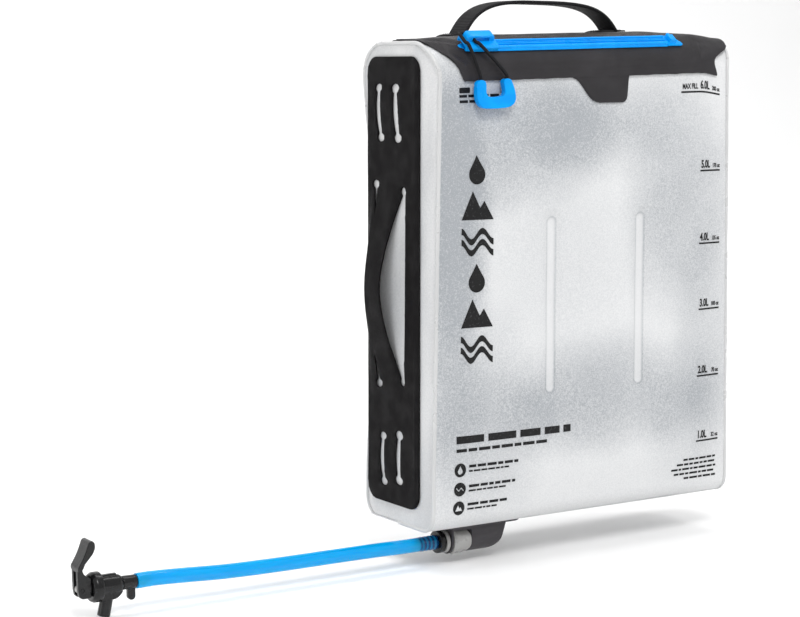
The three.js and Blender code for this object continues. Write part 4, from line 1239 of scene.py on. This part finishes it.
def make_tracks():
    """Two moulded rails, each with a rounded outer lip, a groove and a raised inner bead."""
    section = [
        (0.15, 0), (5.8, 0), (5.8, 0.7), (4.7, 0.8), (4.5, 2.3), (4.0, 2.8), (2.6, 2.9),
        (2.2, 1.5), (1.5, 1.5), (1.1, 3.0), (0.25, 3.0), (0.15, 0),
    ]
    ring = softened(section, 0.45, 3)[:-1]
    for side, word in ((1, "upper"), (-1, "lower")):
        rings = []
        for x in np.linspace(ZIP_LEFT, ZIP_RIGHT, 93):
            bow = 0.06 * math.sin(x / 13) + 0.04 * math.sin(x / 5)
            rings.append([(x, side * y, TRACK_BASE + z + bow * (z > 0.5)) for y, z in ring])
        points, faces = lofted(rings)
        piece(f"zip_rail_{word}", points, faces, ZIP, "zip_blue", "reservoir", (f"zip_track_{word}",),
              sharp=50)


def make_cord_and_grip():
    """One braided cord, from one arm of the grip up around the slider's bridge and down to the other."""
    radius = 1.2
    cord_z = DECK + radius + 0.35
    front, back = -1, 5.4
    left = SLIDER_LEFT + 1.2 - radius - 0.3
    right = SLIDER_LEFT + 6.8 + radius + 0.4
    grip_x, grip_y, grip_z, lean = -88.5, -HALF_DEPTH - 5.6, -38.4, 0.05
    turn = Matrix.Translation((grip_x, grip_y, grip_z)) @ Matrix.Rotation(-lean, 4, "Y")
    to_bag = BAG.inverted() @ ZIP
    def zip_point(x, y, z=cord_z):
        return to_bag @ Vector((x, y, z))
    def strand(x, arm):
        slant = 0.12 * (arm - x + grip_x)
        return [zip_point(x, front - radius - 0.6), zip_point(x + slant, -7.6, cord_z - 0.1),
                turn @ Vector((arm, 0, 13.5)), turn @ Vector((arm, 0, 9.4))]
    over = [zip_point(left, 2), zip_point(left + 0.4, back + 0.6),
            zip_point((left + right) / 2, back + radius + 0.4),
            zip_point(right - 0.4, back + 0.6), zip_point(right, 2)]
    route = strand(left, -10.6)[::-1] + over + strand(right, 10.6)
    points, faces, coordinates = tube_mesh(smooth_path(route, 150), radius, 16)
    top, low = zip_point(left, -2), zip_point(left, -8.5)
    cord = piece("pull_cord", points, faces, BAG, "cord", None,
                 ("pull_cord_loop", "pull_cord_left", "pull_cord_right"), strand=coordinates)
    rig.blend(cord, "slider", "pull", start=tuple(BAG @ top), end=tuple(BAG @ low))

    ring = [(-14.6, 7.5)]
    ring += bezier(ring[-1], (-15.4, 1), (-16.6, -9), (-7, -9.8), steps=14)
    ring += bezier((-7, -9.8), (2, -10.4), (9, -10), steps=4)
    ring += bezier((9, -10), (20, -9), (18, -1), (14.6, 7.5), steps=16)
    ring += bezier((14.6, 7.5), (14, 10.8), (7.4, 10.8), (7.2, 7.5), steps=6)
    ring += bezier((7.2, 7.5), (8.6, 1.5), (9.5, -1.4), (4.4, -1.8), steps=12)
    ring += bezier((4.4, -1.8), (-0.5, -2.3), (-4, -1.8), steps=3)
    ring += bezier((-4, -1.8), (-8, -1.6), (-7.4, 2), (-7.2, 7.5), steps=12)
    ring += bezier((-7.2, 7.5), (-7.4, 10.8), (-14, 10.8), (-14.6, 7.5), steps=6)[:-1]
    body = slab_mesh(ring, -2.7, 2.7)
    fused("pull_loop_grip", [body], [], BAG @ turn, "zip_blue", "pull", ("pull_grip",),
          voxel=0.42, smooth=16, keep=0.7)


make_tracks()
make_cord_and_grip()
softened_copy("zip_slider", "zip_slide_body", "zip_blue", "slider", 0.5)
softened_copy("zip_end_stop", "zip_dock", "zip_blue", "reservoir", 0.4)
softened_copy("zip_end_tail", "zip_tail_flap", "zip_blue", "reservoir", 0.25)


# ---- the webbing handle ----
FOOT_LEFT = -71
FOOT_RIGHT = 62.5
STRAP_WIDTH = 20
STRAP_THICK = 3.2
HANDLE_APEX = 26.3
HANDLE_FLAT = 9


def handle_line():
    """The handle's middle line in X and Z: two quarter curves and a level crown."""
    clear = BAND_OUT + BAND_THICK + 1.4 + 2 * GAP + 1
    left = Vector((FOOT_LEFT, skin(FOOT_LEFT, -HANDLE_Y, 0, fine=False)[2] + clear))
    right = Vector((FOOT_RIGHT, skin(FOOT_RIGHT, -HANDLE_Y, 0, fine=False)[2] + clear))
    a = Vector((HANDLE_CENTRE - HANDLE_FLAT, HANDLE_APEX))
    b = Vector((HANDLE_CENTRE + HANDLE_FLAT, HANDLE_APEX))
    def controls(foot, crown):
        near = (foot.x + (crown.x - foot.x) * 0.17, foot.y + (crown.y - foot.y) * 0.72)
        return near, (crown.x - (crown.x - foot.x) * 0.62, crown.y)
    up = bezier(left, *controls(left, a), a, steps=30)
    down = bezier(b, *reversed(controls(right, b)), right, steps=30)
    return [tuple(left)] + up + [(b.x, b.y)] + down


def make_handle():
    """The webbing handle: an arch with thinner edges, its ends sewn in under the patches."""
    arch = [np.array((x, HANDLE_Y, z)) for x, z in handle_line()]
    low = arch[0][2]
    for end, beside in ((0, 1), (-1, -2)):
        down = arch[end] - arch[beside]
        sewn_in = arch[end] + down / np.linalg.norm(down) * 3.9
        arch.insert(0 if end == 0 else len(arch), sewn_in)
    line = smooth_path(arch, 160)
    tangents = np.gradient(line, axis=0)
    tangents /= np.linalg.norm(tangents, axis=1)[:, None]
    run = np.concatenate([[0], np.cumsum(np.linalg.norm(np.diff(line, axis=0), axis=1))])
    section = []
    for k in range(36):
        t = 2 * math.pi * k / 36
        c, s = math.cos(t), math.sin(t)
        wide = STRAP_WIDTH / 2 * math.copysign(abs(c) ** 0.35, c)
        thick = STRAP_THICK / 2 * math.copysign(abs(s) ** 0.6, s)
        piping = 0.86 + 0.14 * step(0.80, 0.94, abs(wide) / (STRAP_WIDTH / 2))
        section.append((wide, thick * piping))
    across = np.array((0, 1, 0))
    rings, strand = [], []
    for centre, t, s in zip(line, tangents, run):
        normal = np.array((-t[2], 0, t[0]))
        cup = 0.25 * math.sin(s / 21)
        rings.append([centre + across * w + normal * (h + cup * (w / 10) ** 2) for w, h in section])
        strand += [(w / 1000, s / 1000, 0) for w, _ in section]
    points, faces = lofted(rings)
    strap = piece("webbing_handle", points, faces, BAG, "webbing", None,
                  ("handle_strap", "handle_foot_left", "handle_foot_right"), strand=strand)
    start = BAG @ Vector((0, HANDLE_Y, low + 0.5))
    end = BAG @ Vector((0, HANDLE_Y, low + 11))
    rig.blend(strap, "reservoir", "handle", start=tuple(start), end=tuple(end))


def capsule_row(pairs, radius):
    """Short rounded stitches, each between two points."""
    capsules = []
    for a, b in pairs:
        a, b = np.array(a, float), np.array(b, float)
        line = [a + (b - a) * t for t in (0, 0.12, 0.5, 0.88, 1)]
        capsules.append(tube_mesh(line, [radius * part for part in (0.35, 0.85, 1, 0.85, 0.35)], 8)[:2])
    return joined(capsules)


def rounded_rect(x0, y0, x1, y1, r, steps=8):
    """A rectangle's outline with rounded corners."""
    ring = []
    middles = ((x1 - r, y1 - r), (x0 + r, y1 - r), (x0 + r, y0 + r), (x1 - r, y0 + r))
    for quarter, (cx, cy) in enumerate(middles):
        for k in range(steps + 1):
            t = math.radians(90 * quarter + 90 * k / steps)
            ring.append((cx + r * math.cos(t), cy + r * math.sin(t)))
    return ring


def make_anchors():
    """Each end of the handle is held by a patch of coated fabric, stitched in a box with one diagonal."""
    base = BAND_OUT + BAND_THICK + GAP
    for x0, word in ((FOOT_LEFT, "left"), (FOOT_RIGHT, "right")):
        ring = rounded_rect(x0 - 13, -30, x0 + 13, -8, 4, 6)
        def lift(x, walk, out):
            return skin(x, walk, base + out, fine=False)
        plate(f"handle_patch_{word}", gridded(ring, 1.8), lift, 0.9, "coated_fabric", "reservoir",
              (f"handle_anchor_{word}",), look=LOOKS["band"], round_edge=0.4)
        corners = [(-9.5, -26.5), (9.5, -26.5), (9.5, -11.5), (-9.5, -11.5)]
        runs = [(corners[i], corners[(i + 1) % 4]) for i in range(4)] + [(corners[0], corners[2])]
        stitches = []
        for (xa, wa), (xb, wb) in runs:
            count = round(math.hypot(xb - xa, wb - wa) / 2.4)
            for k in range(count):
                t0, t1 = (k + 0.12) / count, (k + 0.82) / count
                stitches.append([skin(x0 + xa + (xb - xa) * t, wa + (wb - wa) * t, base + 1.0, fine=False)
                                 for t in (t0, t1)])
        points, faces = capsule_row(stitches, 0.28)
        piece(f"handle_stitching_{word}", points, faces, BAG, "cord", "reservoir", look=LOOKS["webbing"])


make_handle()
make_anchors()


# ---- the side lash panels ----
def slit(y0, z0, y1, z1, bow=0.0, wide=2.8, end=3.0, tail=None):
    """A gaping slit, bowed sideways, from a punched hole to a second hole or to a point."""
    along = Vector((y1 - y0, z1 - z0))
    length = along.length
    along /= length
    across = Vector((-along.y, along.x))
    near = 1.3 * end
    last = length if tail else length + end
    stations = list(np.linspace(-end, near, 12)) + list(np.linspace(near, last - near, 16)[1:-1])
    stations += list(np.linspace(last - near, last, 12))
    edges = ([], [])
    for s in stations:
        t = min(max(s / length, 0), 1)
        gape = tail * (1 - t) if tail else 1.9 + (wide - 1.9) * math.sin(math.pi * t) ** 0.7
        hole = abs(s) if tail else min(abs(s), abs(length - s))
        half = 1.45 * math.sqrt(max(end * end - hole * hole, 0))
        if 0 < s < length:
            half = max(half, gape)
        middle = Vector((y0, z0)) + along * s + across * (2 * bow * t * (1 - t))
        edges[0].append(tuple(middle - across * half))
        if half > 1e-6:
            edges[1].append(tuple(middle + across * half))
    return edges[0] + edges[1][::-1]


def arc(centre, radius, start, end):
    """Eleven points of a circle's part, in degrees."""
    return [(centre[0] + radius * math.cos(t), centre[1] + radius * math.sin(t))
            for t in np.linspace(math.radians(start), math.radians(end), 11)]


def carry_slot():
    """The long slot: nearly straight along the front, and curved where the strap strip is drawn back."""
    ring = arc((-9.2, -106), 3.3, -60, 205)
    ring += [(-11.4, -122), (-11.2, -150), (-10.8, -190), (-10.4, -224)]
    ring += arc((-8.6, -238.6), 3.0, 150, 395)
    ring += bezier(ring[-1], (1, -222), (8.4, -204), (9, -174), steps=18)
    ring += bezier((9, -174), (9.5, -148), (1, -122), ring[0], steps=18)[:-1]
    return ring


def make_lash_panels():
    """Coated fabric pads with lash slits; the strip behind the carry slot stands off as a side handle."""
    ring = rounded_rect(-29, -327.6, 37, -13, 11)
    holes = [
        slit(22.4, -34.6, 19.4, -69, 5), slit(1.4, -35, -2, -69, 3, 3.4, 3.4),
        slit(25.5, -102, 25, -122, tail=2), slit(21.2, -243, 24.6, -222, tail=2),
        slit(17, -280.6, 15.8, -313, 5), slit(-4, -277.4, -3.4, -309.4, 3, 3.0, 3.4),
        carry_slot(),
    ]
    for side, word in ((-1, "left"), (1, "right")):
        def lift(y, z, out):
            strip = math.exp(-(((z + 176) / 42) ** 2)) * step(-9, 5, y) * (1 - step(28, 36.5, y))
            wave = 0.35 * noise.noise(Vector((y / 20, z / 34, side)))
            seam = 0.3 * math.exp(-(((y + 24) / 1.2) ** 2)) * (1 - step(310, 318, -z))
            proud = 8.4 * strip + max(0, wave) + seam
            return side * (HALF_WIDTH - 0.2 + out + proud), y, z
        plate(f"lash_pad_{word}", gridded(ring, 3.0, holes), lift, 1.1, "coated_fabric", "reservoir",
              (f"lash_panel_{word}",), round_edge=0.35)


make_lash_panels()


# ---- the outlet port and the plug ----
PLUG_NOSE = -85.6
COLLAR = -105.2
HOSE_START = COLLAR - 8.2
SOCKET_RADIUS = 5.2


def make_plug():
    """The plug: a nose with a seal groove, a seat for the pale ring, a black ring and a barbed tail."""
    r = SOCKET_RADIUS - 0.35
    barbs = []
    for i in range(4):
        barbs += [(HOSE_START - 1 - 3.4 * i, 2.5), (HOSE_START - 3.6 - 3.4 * i, 2.95)]
    tip = HOSE_START - 16
    profile = [
        (PLUG_NOSE, 1.7), (PLUG_NOSE, r - 0.6), (PLUG_NOSE - 0.8, r), (-91.6, r), (-91.6, 3.2), (-94.6, 3.2),
        (-94.6, r), (COLLAR, r), (COLLAR, 6.8), (COLLAR - 3, 6.8), (COLLAR - 3, 7.2), (COLLAR - 4.4, 7.2),
        (COLLAR - 4.4, 8.2), (COLLAR - 7.6, 8), (COLLAR - 7.6, 2.9), *barbs, (tip, 2.4), (tip, 1.7),
        (PLUG_NOSE, 1.7),
    ]
    points, faces = turned_mesh(softened(profile, 0.5))
    return piece("quick_plug", points, faces, PORT, "tap_black", "hose_line", ("hose_plug",))


def make_plug_ring():
    """The pale ring on the plug that lies against the port's face."""
    back, front = COLLAR - 2.8, COLLAR - 0.1
    profile = [(back, 6.9), (back, 8.3), (front, 8.5), (front, 6.9), (back, 6.9)]
    points, faces = turned_mesh(softened(profile, 0.4))
    return piece("quick_plug_ring", points, faces, PORT, "button_grey", "hose_line")


def make_seal():
    """The o-ring in the plug's groove."""
    ring = [(-93.1 + 0.75 * math.cos(2 * math.pi * k / 16), 4.25 + 0.75 * math.sin(2 * math.pi * k / 16))
            for k in range(16)]
    points, faces = turned_mesh(ring + [ring[0]])
    return piece("plug_o_ring", points, faces, PORT, "seal_rubber", "seal", ("plug_seal",))


plug = make_plug()
plug_ring = make_plug_ring()
o_ring = make_seal()
softened_copy("port_flange", "port_base", "port_grey", "reservoir", 0.5)
softened_copy("port_housing", "port_shell", "port_grey", "reservoir", 0.5, angle=40)
softened_copy("release_button", "port_button", "button_grey", "button", 0.35, angle=40)


# ---- the lever tap ----
LEVER_BASE = -22.65
PIN_X = -29


def round_y(radius, low, high, place=(0, 0, 0)):
    """A round bar along Y."""
    sides = 40
    ring = [(radius * math.cos(2 * math.pi * k / sides), radius * math.sin(2 * math.pi * k / sides))
            for k in range(sides)]
    return placed(slab_mesh(ring, low, high), Matrix.Translation(place))


def make_inlet():
    """The barbed inlet, with the finger fin under it."""
    profile = [
        (0.15, 1.7), (0.15, 4.6), (10, 4.4), (10, 2.5), (13, 2.9), (13, 2.5), (16, 2.9), (16, 2.5),
        (19.5, 2.9), (20.5, 2.4), (20.5, 1.7), (0.15, 1.7),
    ]
    fin = [(4.2, -2.4), (4.2, -9.2)] + [(6.8 - 2.6 * math.cos(t), -9.2 - 2.6 * math.sin(t))
                                        for t in np.linspace(0, math.pi, 12)] + [(9.4, -2.4)]
    parts = [turned_mesh(softened(profile, 0.3)), slab_mesh(fin, -1.7, 1.7)]
    return fused("tap_barb", parts, [], TAP, "tap_black", "hose_line", ("tap_inlet",), smooth=2)


def make_tap_body():
    """The barrel with its top rib and the fairing that runs into the spout."""
    barrel = [(-0.2, 0), (-0.2, 5), (-2, 6.3), (-15, 6.4), (-15, 5.6), (-21.6, 5.6), (-21.6, 0)]
    fairing = [(-0.6, -2), (-0.6, -5), (-4.5, -8.6), (-15, -9.6), (-15, -2)]
    spout_turn = Matrix.Translation((-8.5, 0, 0)) @ Matrix.Rotation(0.21, 4, "Y")
    spout_turn = spout_turn @ Matrix.Rotation(math.pi / 2, 4, "Y")
    def spout(radius, length):
        return placed(turned_mesh([(0, 0), (0, radius), (length, radius), (length, 0)]), spout_turn)
    parts = [
        turned_mesh(softened(barrel, 0.8)), slab_mesh(softened(fairing + [fairing[0]], 2)[:-1], -4.3, 4.3),
        box_mesh(-14.5, -4, -1.3, 1.3, 5, 7.4), spout(4.2, 20.2),
    ]
    cutters = [
        turned_mesh([(-21.7, 0), (-21.7, 3.5), (-2.7, 3.5), (-2.7, 0)]),
        turned_mesh([(-5, 0), (-5, 1.7), (1, 1.7), (1, 0)]), spout(2.9, 22.2),
    ]
    return fused("tap_barrel", parts, cutters, TAP, "tap_black", "hose_line", ("tap_body",), smooth=4)


def make_cap():
    """The ring that closes the barrel around the stem."""
    profile = [
        (-15.3, 5.95), (-15.3, 9.4), (-16, 9.9), (-20, 9.9), (-22.3, 8.6), (-22.3, 2.1), (-21.9, 2.1),
        (-21.9, 5.95), (-15.3, 5.95),
    ]
    points, faces = turned_mesh(softened(profile, 0.6))
    return piece("tap_cap_ring", points, faces, TAP, "tap_black", "hose_line", ("tap_cap",))


def make_lever():
    """Two cheeks beside the stem's eye, an arm up from them and a broad thumb paddle leaning back."""
    base = LEVER_BASE
    cheeks = [
        (base, -5.4), (base, 7), (-25.2, 8.2), (-27.8, 10.4), (-28.8, 13), (-29, 15.6), (-32.2, 15.6),
        (-32, 8), (-31.8, 0), (-31, -4.4), (-28.8, -5.8),
    ]
    side = [
        (-32.2, 15), (-32.2, 12.4), (-29, 13.2), (-27.3, 17.2), (-24.2, 20.4), (-21.6, 23.4), (-20.3, 26.6),
        (-20.4, 30), (-22.4, 31.9), (-24.6, 30.8), (-26.4, 25.8), (-28.6, 21),
    ]
    dome = turned_mesh([(0, 0), (0, 5.6), (-2.6, 5.2), (-4.6, 3.8), (-5.4, 0)])
    dome = placed(dome, Matrix.Translation((base, 0, 1)))
    parts = [
        slab_mesh(softened(cheeks + [cheeks[0]], 1.2)[:-1], -5, 5),
        slab_mesh(softened(side + [side[0]], 1.0)[:-1], -6.2, 6.2), dome,
    ]
    cutters = [
        box_mesh(-34, base + 1, -2.05, 2.05, -8, 12), round_y(1.35, -10, 10, (PIN_X, 0, 0)),
    ]
    return fused("thumb_lever", parts, cutters, TAP, "tap_black", "lever", ("tap_lever",), voxel=0.32)


def make_pin():
    """The lever's hinge pin, through the stem's eye."""
    points, faces = round_y(1.05, -4.9, 4.9, (PIN_X, 0, 0))
    return piece("lever_hinge_pin", points, faces, TAP, "steel", "stem", ("lever_pin",),
                 look=LOOKS["tap_black"])


tap_pieces = [make_inlet(), make_tap_body(), make_cap(), make_lever(), make_pin()]
on_hose = [plug, plug_ring, o_ring, *tap_pieces, NODES["tap_stem"], NODES["stem_seal"], NODES["tap_spring"]]
hose_length = sum(math.dist(a, b) for a, b in zip(hose_path, hose_path[1:]))
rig.cord(hose, exit=hose_path[0], length=round(hose_length, 4), diameter=2 * HOSE_RADIUS / 1000,
        far_end="fitting", stiffness="stiff", lay="loose", path=hose_path, with_pieces=on_hose)


# ---- the print on the front: a litre scale, plain symbols and rows of blank word blocks ----
SCALE_RIGHT = 125.5
NUMBER_RIGHT = 112.6
SYMBOL_X = -100
BADGE_X = -113


def on_front(x, z, out):
    """A point just off the front film."""
    walk = WALL_START - TOP_RADIUS - z
    return skin(x, walk, 0.1 + out)


def bar(x0, x1, z0, z1):
    return [(x0, z0), (x1, z0), (x1, z1), (x0, z1)]


def ink(name, rings, cell=3.0):
    """Flat shapes printed on the front film; a list of rings is an outline followed by its holes."""
    made = bmesh.new()
    for ring in rings:
        outer, *holes = ring if isinstance(ring[0], list) else [ring]
        part = gridded(outer, cell, holes)
        mesh = bpy.data.meshes.new("ring")
        part.to_mesh(mesh)
        part.free()
        made.from_mesh(mesh)
    plate(name, made, on_front, 0.12, "webbing", "reservoir", look=INK)


def lettering(name, text, x_right, z_base, size, squeeze):
    """Numbers of the scale, set to end at x_right."""
    curve = bpy.data.curves.new(name, "FONT")
    curve.body = text
    curve.size = size
    curve.offset = size * 0.032
    curve.resolution_u = 4
    mesh = flattened(name, curve)
    right = max(v.co.x for v in mesh.vertices) * squeeze
    for v in mesh.vertices:
        v.co = (v.co.x * squeeze + x_right - right, v.co.y + z_base, 0)
    plate(name, cut_in_cells(mesh, 4.0), on_front, 0.12, "webbing", "reservoir", look=INK)


def drop_ring(cx, cz, size):
    """A plain water drop."""
    low = [(cx + 0.34 * size * math.cos(t), cz - 0.16 * size + 0.34 * size * math.sin(t))
           for t in np.linspace(math.radians(-215), math.radians(35), 22)]
    return low + bezier(low[-1], (cx + 0.1 * size, cz + 0.3 * size), (cx, cz + 0.5 * size), steps=6) \
        + bezier((cx, cz + 0.5 * size), (cx - 0.1 * size, cz + 0.3 * size), low[0], steps=6)[:-1]


def peak_ring(cx, cz, size):
    """A plain double peak."""
    s = size / 2
    corners = ((-1, -0.7), (1, -0.7), (0.45, 0.25), (0.2, -0.1), (-0.25, 0.75))
    return [(cx + x * s, cz + z * s) for x, z in corners]


def wave_ring(cx, cz, size):
    """A plain wave line."""
    tall, thick = 0.14 * size, 0.16 * size
    xs = np.linspace(-size / 2, size / 2, 22)
    top = [(cx + x, cz + tall * math.sin(2 * math.pi * x / size * 1.5) + thick / 2) for x in xs]
    return top + [(x, z - thick) for x, z in reversed(top)]


def word_blocks(x0, x1, z, tall, rng):
    """A line of blank blocks, as long as words would be."""
    rings = []
    x = x0
    while x < x1 - tall:
        end = min(x + tall * rng.uniform(1.6, 5.2), x1)
        rings.append(bar(x, end, z, z + tall))
        x = end + tall * 0.7
    return rings


LITRE_MARKS = ((6, -39.5), (5, -95.5), (4, -149.4), (3, -198.5), (2, -248.8), (1, -298))
OUNCES = {6: 200, 5: 170, 4: 135, 3: 100, 2: 70, 1: 32}


def make_scale():
    """A line at each litre, with its number and its ounces above it."""
    for litres, z in LITRE_MARKS:
        left = 84 if litres == 6 else 101.5
        ink(f"scale_line_{litres}", [bar(left, SCALE_RIGHT, z - 1.2, z)])
        lettering(f"scale_number_{litres}", f"{litres}.0L", NUMBER_RIGHT, z + 1.6, 7.8, 0.76)
        lettering(f"scale_ounces_{litres}", f"{OUNCES[litres]} oz", SCALE_RIGHT, z + 1.6, 4.2, 0.82)
    lettering("scale_max", "MAX FILL", 100, LITRE_MARKS[0][1] + 1.6, 5, 0.72)


def make_symbols():
    """A column of bold plain symbols down the left of the front, and three small badges below it."""
    column = []
    for k, z in enumerate(np.linspace(-90, -214, 6)):
        kind = (drop_ring, peak_ring, wave_ring)[k % 3]
        if kind is wave_ring:
            column += [kind(SYMBOL_X, z + 3.8, 27), kind(SYMBOL_X, z - 3.8, 27)]
        else:
            column.append(kind(SYMBOL_X, z, 20 if kind is drop_ring else 27))
    ink("symbol_column", column)
    badges = []
    for z, mark in ((-297.6, drop_ring), (-311.2, wave_ring), (-324.6, peak_ring)):
        turns = np.linspace(0, 2 * math.pi, 32)[:-1]
        disc = [(BADGE_X + 4.9 * math.cos(t), z + 4.9 * math.sin(t)) for t in turns]
        badges.append([disc, mark(BADGE_X, z, 6)])
    ink("badges", badges, 1.5)


def make_word_rows():
    """Rows of blank blocks where the front has words."""
    rng = random.Random(6)
    title = word_blocks(-116.5, -18, -279, 5.2, rng) + word_blocks(-116.5, -37, -285, 2.2, rng)
    ink("title_rows", title)
    notes = []
    for z, end in ((-296.4, -64), (-310.4, -66), (-323.6, -72)):
        notes += word_blocks(-105.5, end, z, 1.9, rng) + word_blocks(-105.5, end - 8, z - 3, 1.2, rng)
    for k, start in enumerate((90, 84, 79, 82, 92)):
        notes += word_blocks(start, 124, -312.6 - 3.6 * k, 1.5, rng)
    notes += word_blocks(-115.5, -80, -38.6, 2.0, rng) + word_blocks(-115.5, -96, -42.6, 2.0, rng)
    notes.append(rounded_rect(-115.4, -35.4, -104.5, -31.4, 0.8, 3))
    ink("note_rows", notes)


make_scale()
make_symbols()
make_word_rows()


# ---- floor, light and backdrop ----
def make_stage():
    """A pale floor that curves up into a backdrop, lit by soft boxes."""
    floor_z = cad_box[0][2] - 0.0004
    profile = [(-9.0, 0.0), (2.2, 0.0)] + [(2.2 + 1.6 * math.sin(t), 1.6 - 1.6 * math.cos(t))
                                           for t in np.linspace(0.1, math.pi / 2, 12)] + [(3.8, 6.0)]
    points, faces = [], []
    for y, z in profile:
        points += [(-9, y, z + floor_z), (9, y, z + floor_z)]
    for i in range(len(profile) - 1):
        faces.append((2 * i, 2 * i + 1, 2 * i + 3, 2 * i + 2))
    mesh = bpy.data.meshes.new("studio_floor")
    mesh.from_pydata(points, [], faces)
    mesh.shade_smooth()
    m = Look("pale_floor", Roughness=0.9)
    mesh.materials.append(m.done(m.mix(m.noise(3, 2), (0.93, 0.93, 0.93), (0.95, 0.95, 0.95))))
    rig.stage(added("studio_floor", mesh))


def soft_box(name, place, aim, size, power):
    data = bpy.data.lights.new(name, "AREA")
    data.shape = "RECTANGLE"
    data.size, data.size_y = size
    data.energy = power
    light = added(name, data)
    light.location = place
    light.rotation_euler = (Vector(aim) - Vector(place)).to_track_quat("-Z", "Y").to_euler()


def make_lights():
    world = bpy.data.worlds.new("studio")
    world.use_nodes = True
    background = world.node_tree.nodes["Background"]
    background.inputs["Color"].default_value = (1, 1, 1, 1)
    background.inputs["Strength"].default_value = 0.62
    bpy.context.scene.world = world
    middle = (0, 0, -0.2)
    soft_box("key_light", (-0.7, -1.7, 1.6), middle, (0.9, 0.9), 34)
    soft_box("fill_light", (1.8, -1.4, 0.4), middle, (1.2, 1.2), 7)
    soft_box("side_light", (-2.0, 0.2, 0.3), middle, (0.7, 1.4), 7)
    soft_box("backdrop_light", (0, 0.5, 2.6), (1.2, 3.6, 0.5), (4.2, 1.0), 100)
    bpy.context.scene.view_settings.view_transform = "Standard"


make_stage()
make_lights()

visual_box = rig.bounds()
with open("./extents.json", "w") as size_file:
    boxes = {"cad": cad_box, "visual": visual_box}
    json.dump({word: [[float(v) for v in corner] for corner in box] for word, box in boxes.items()}, size_file)
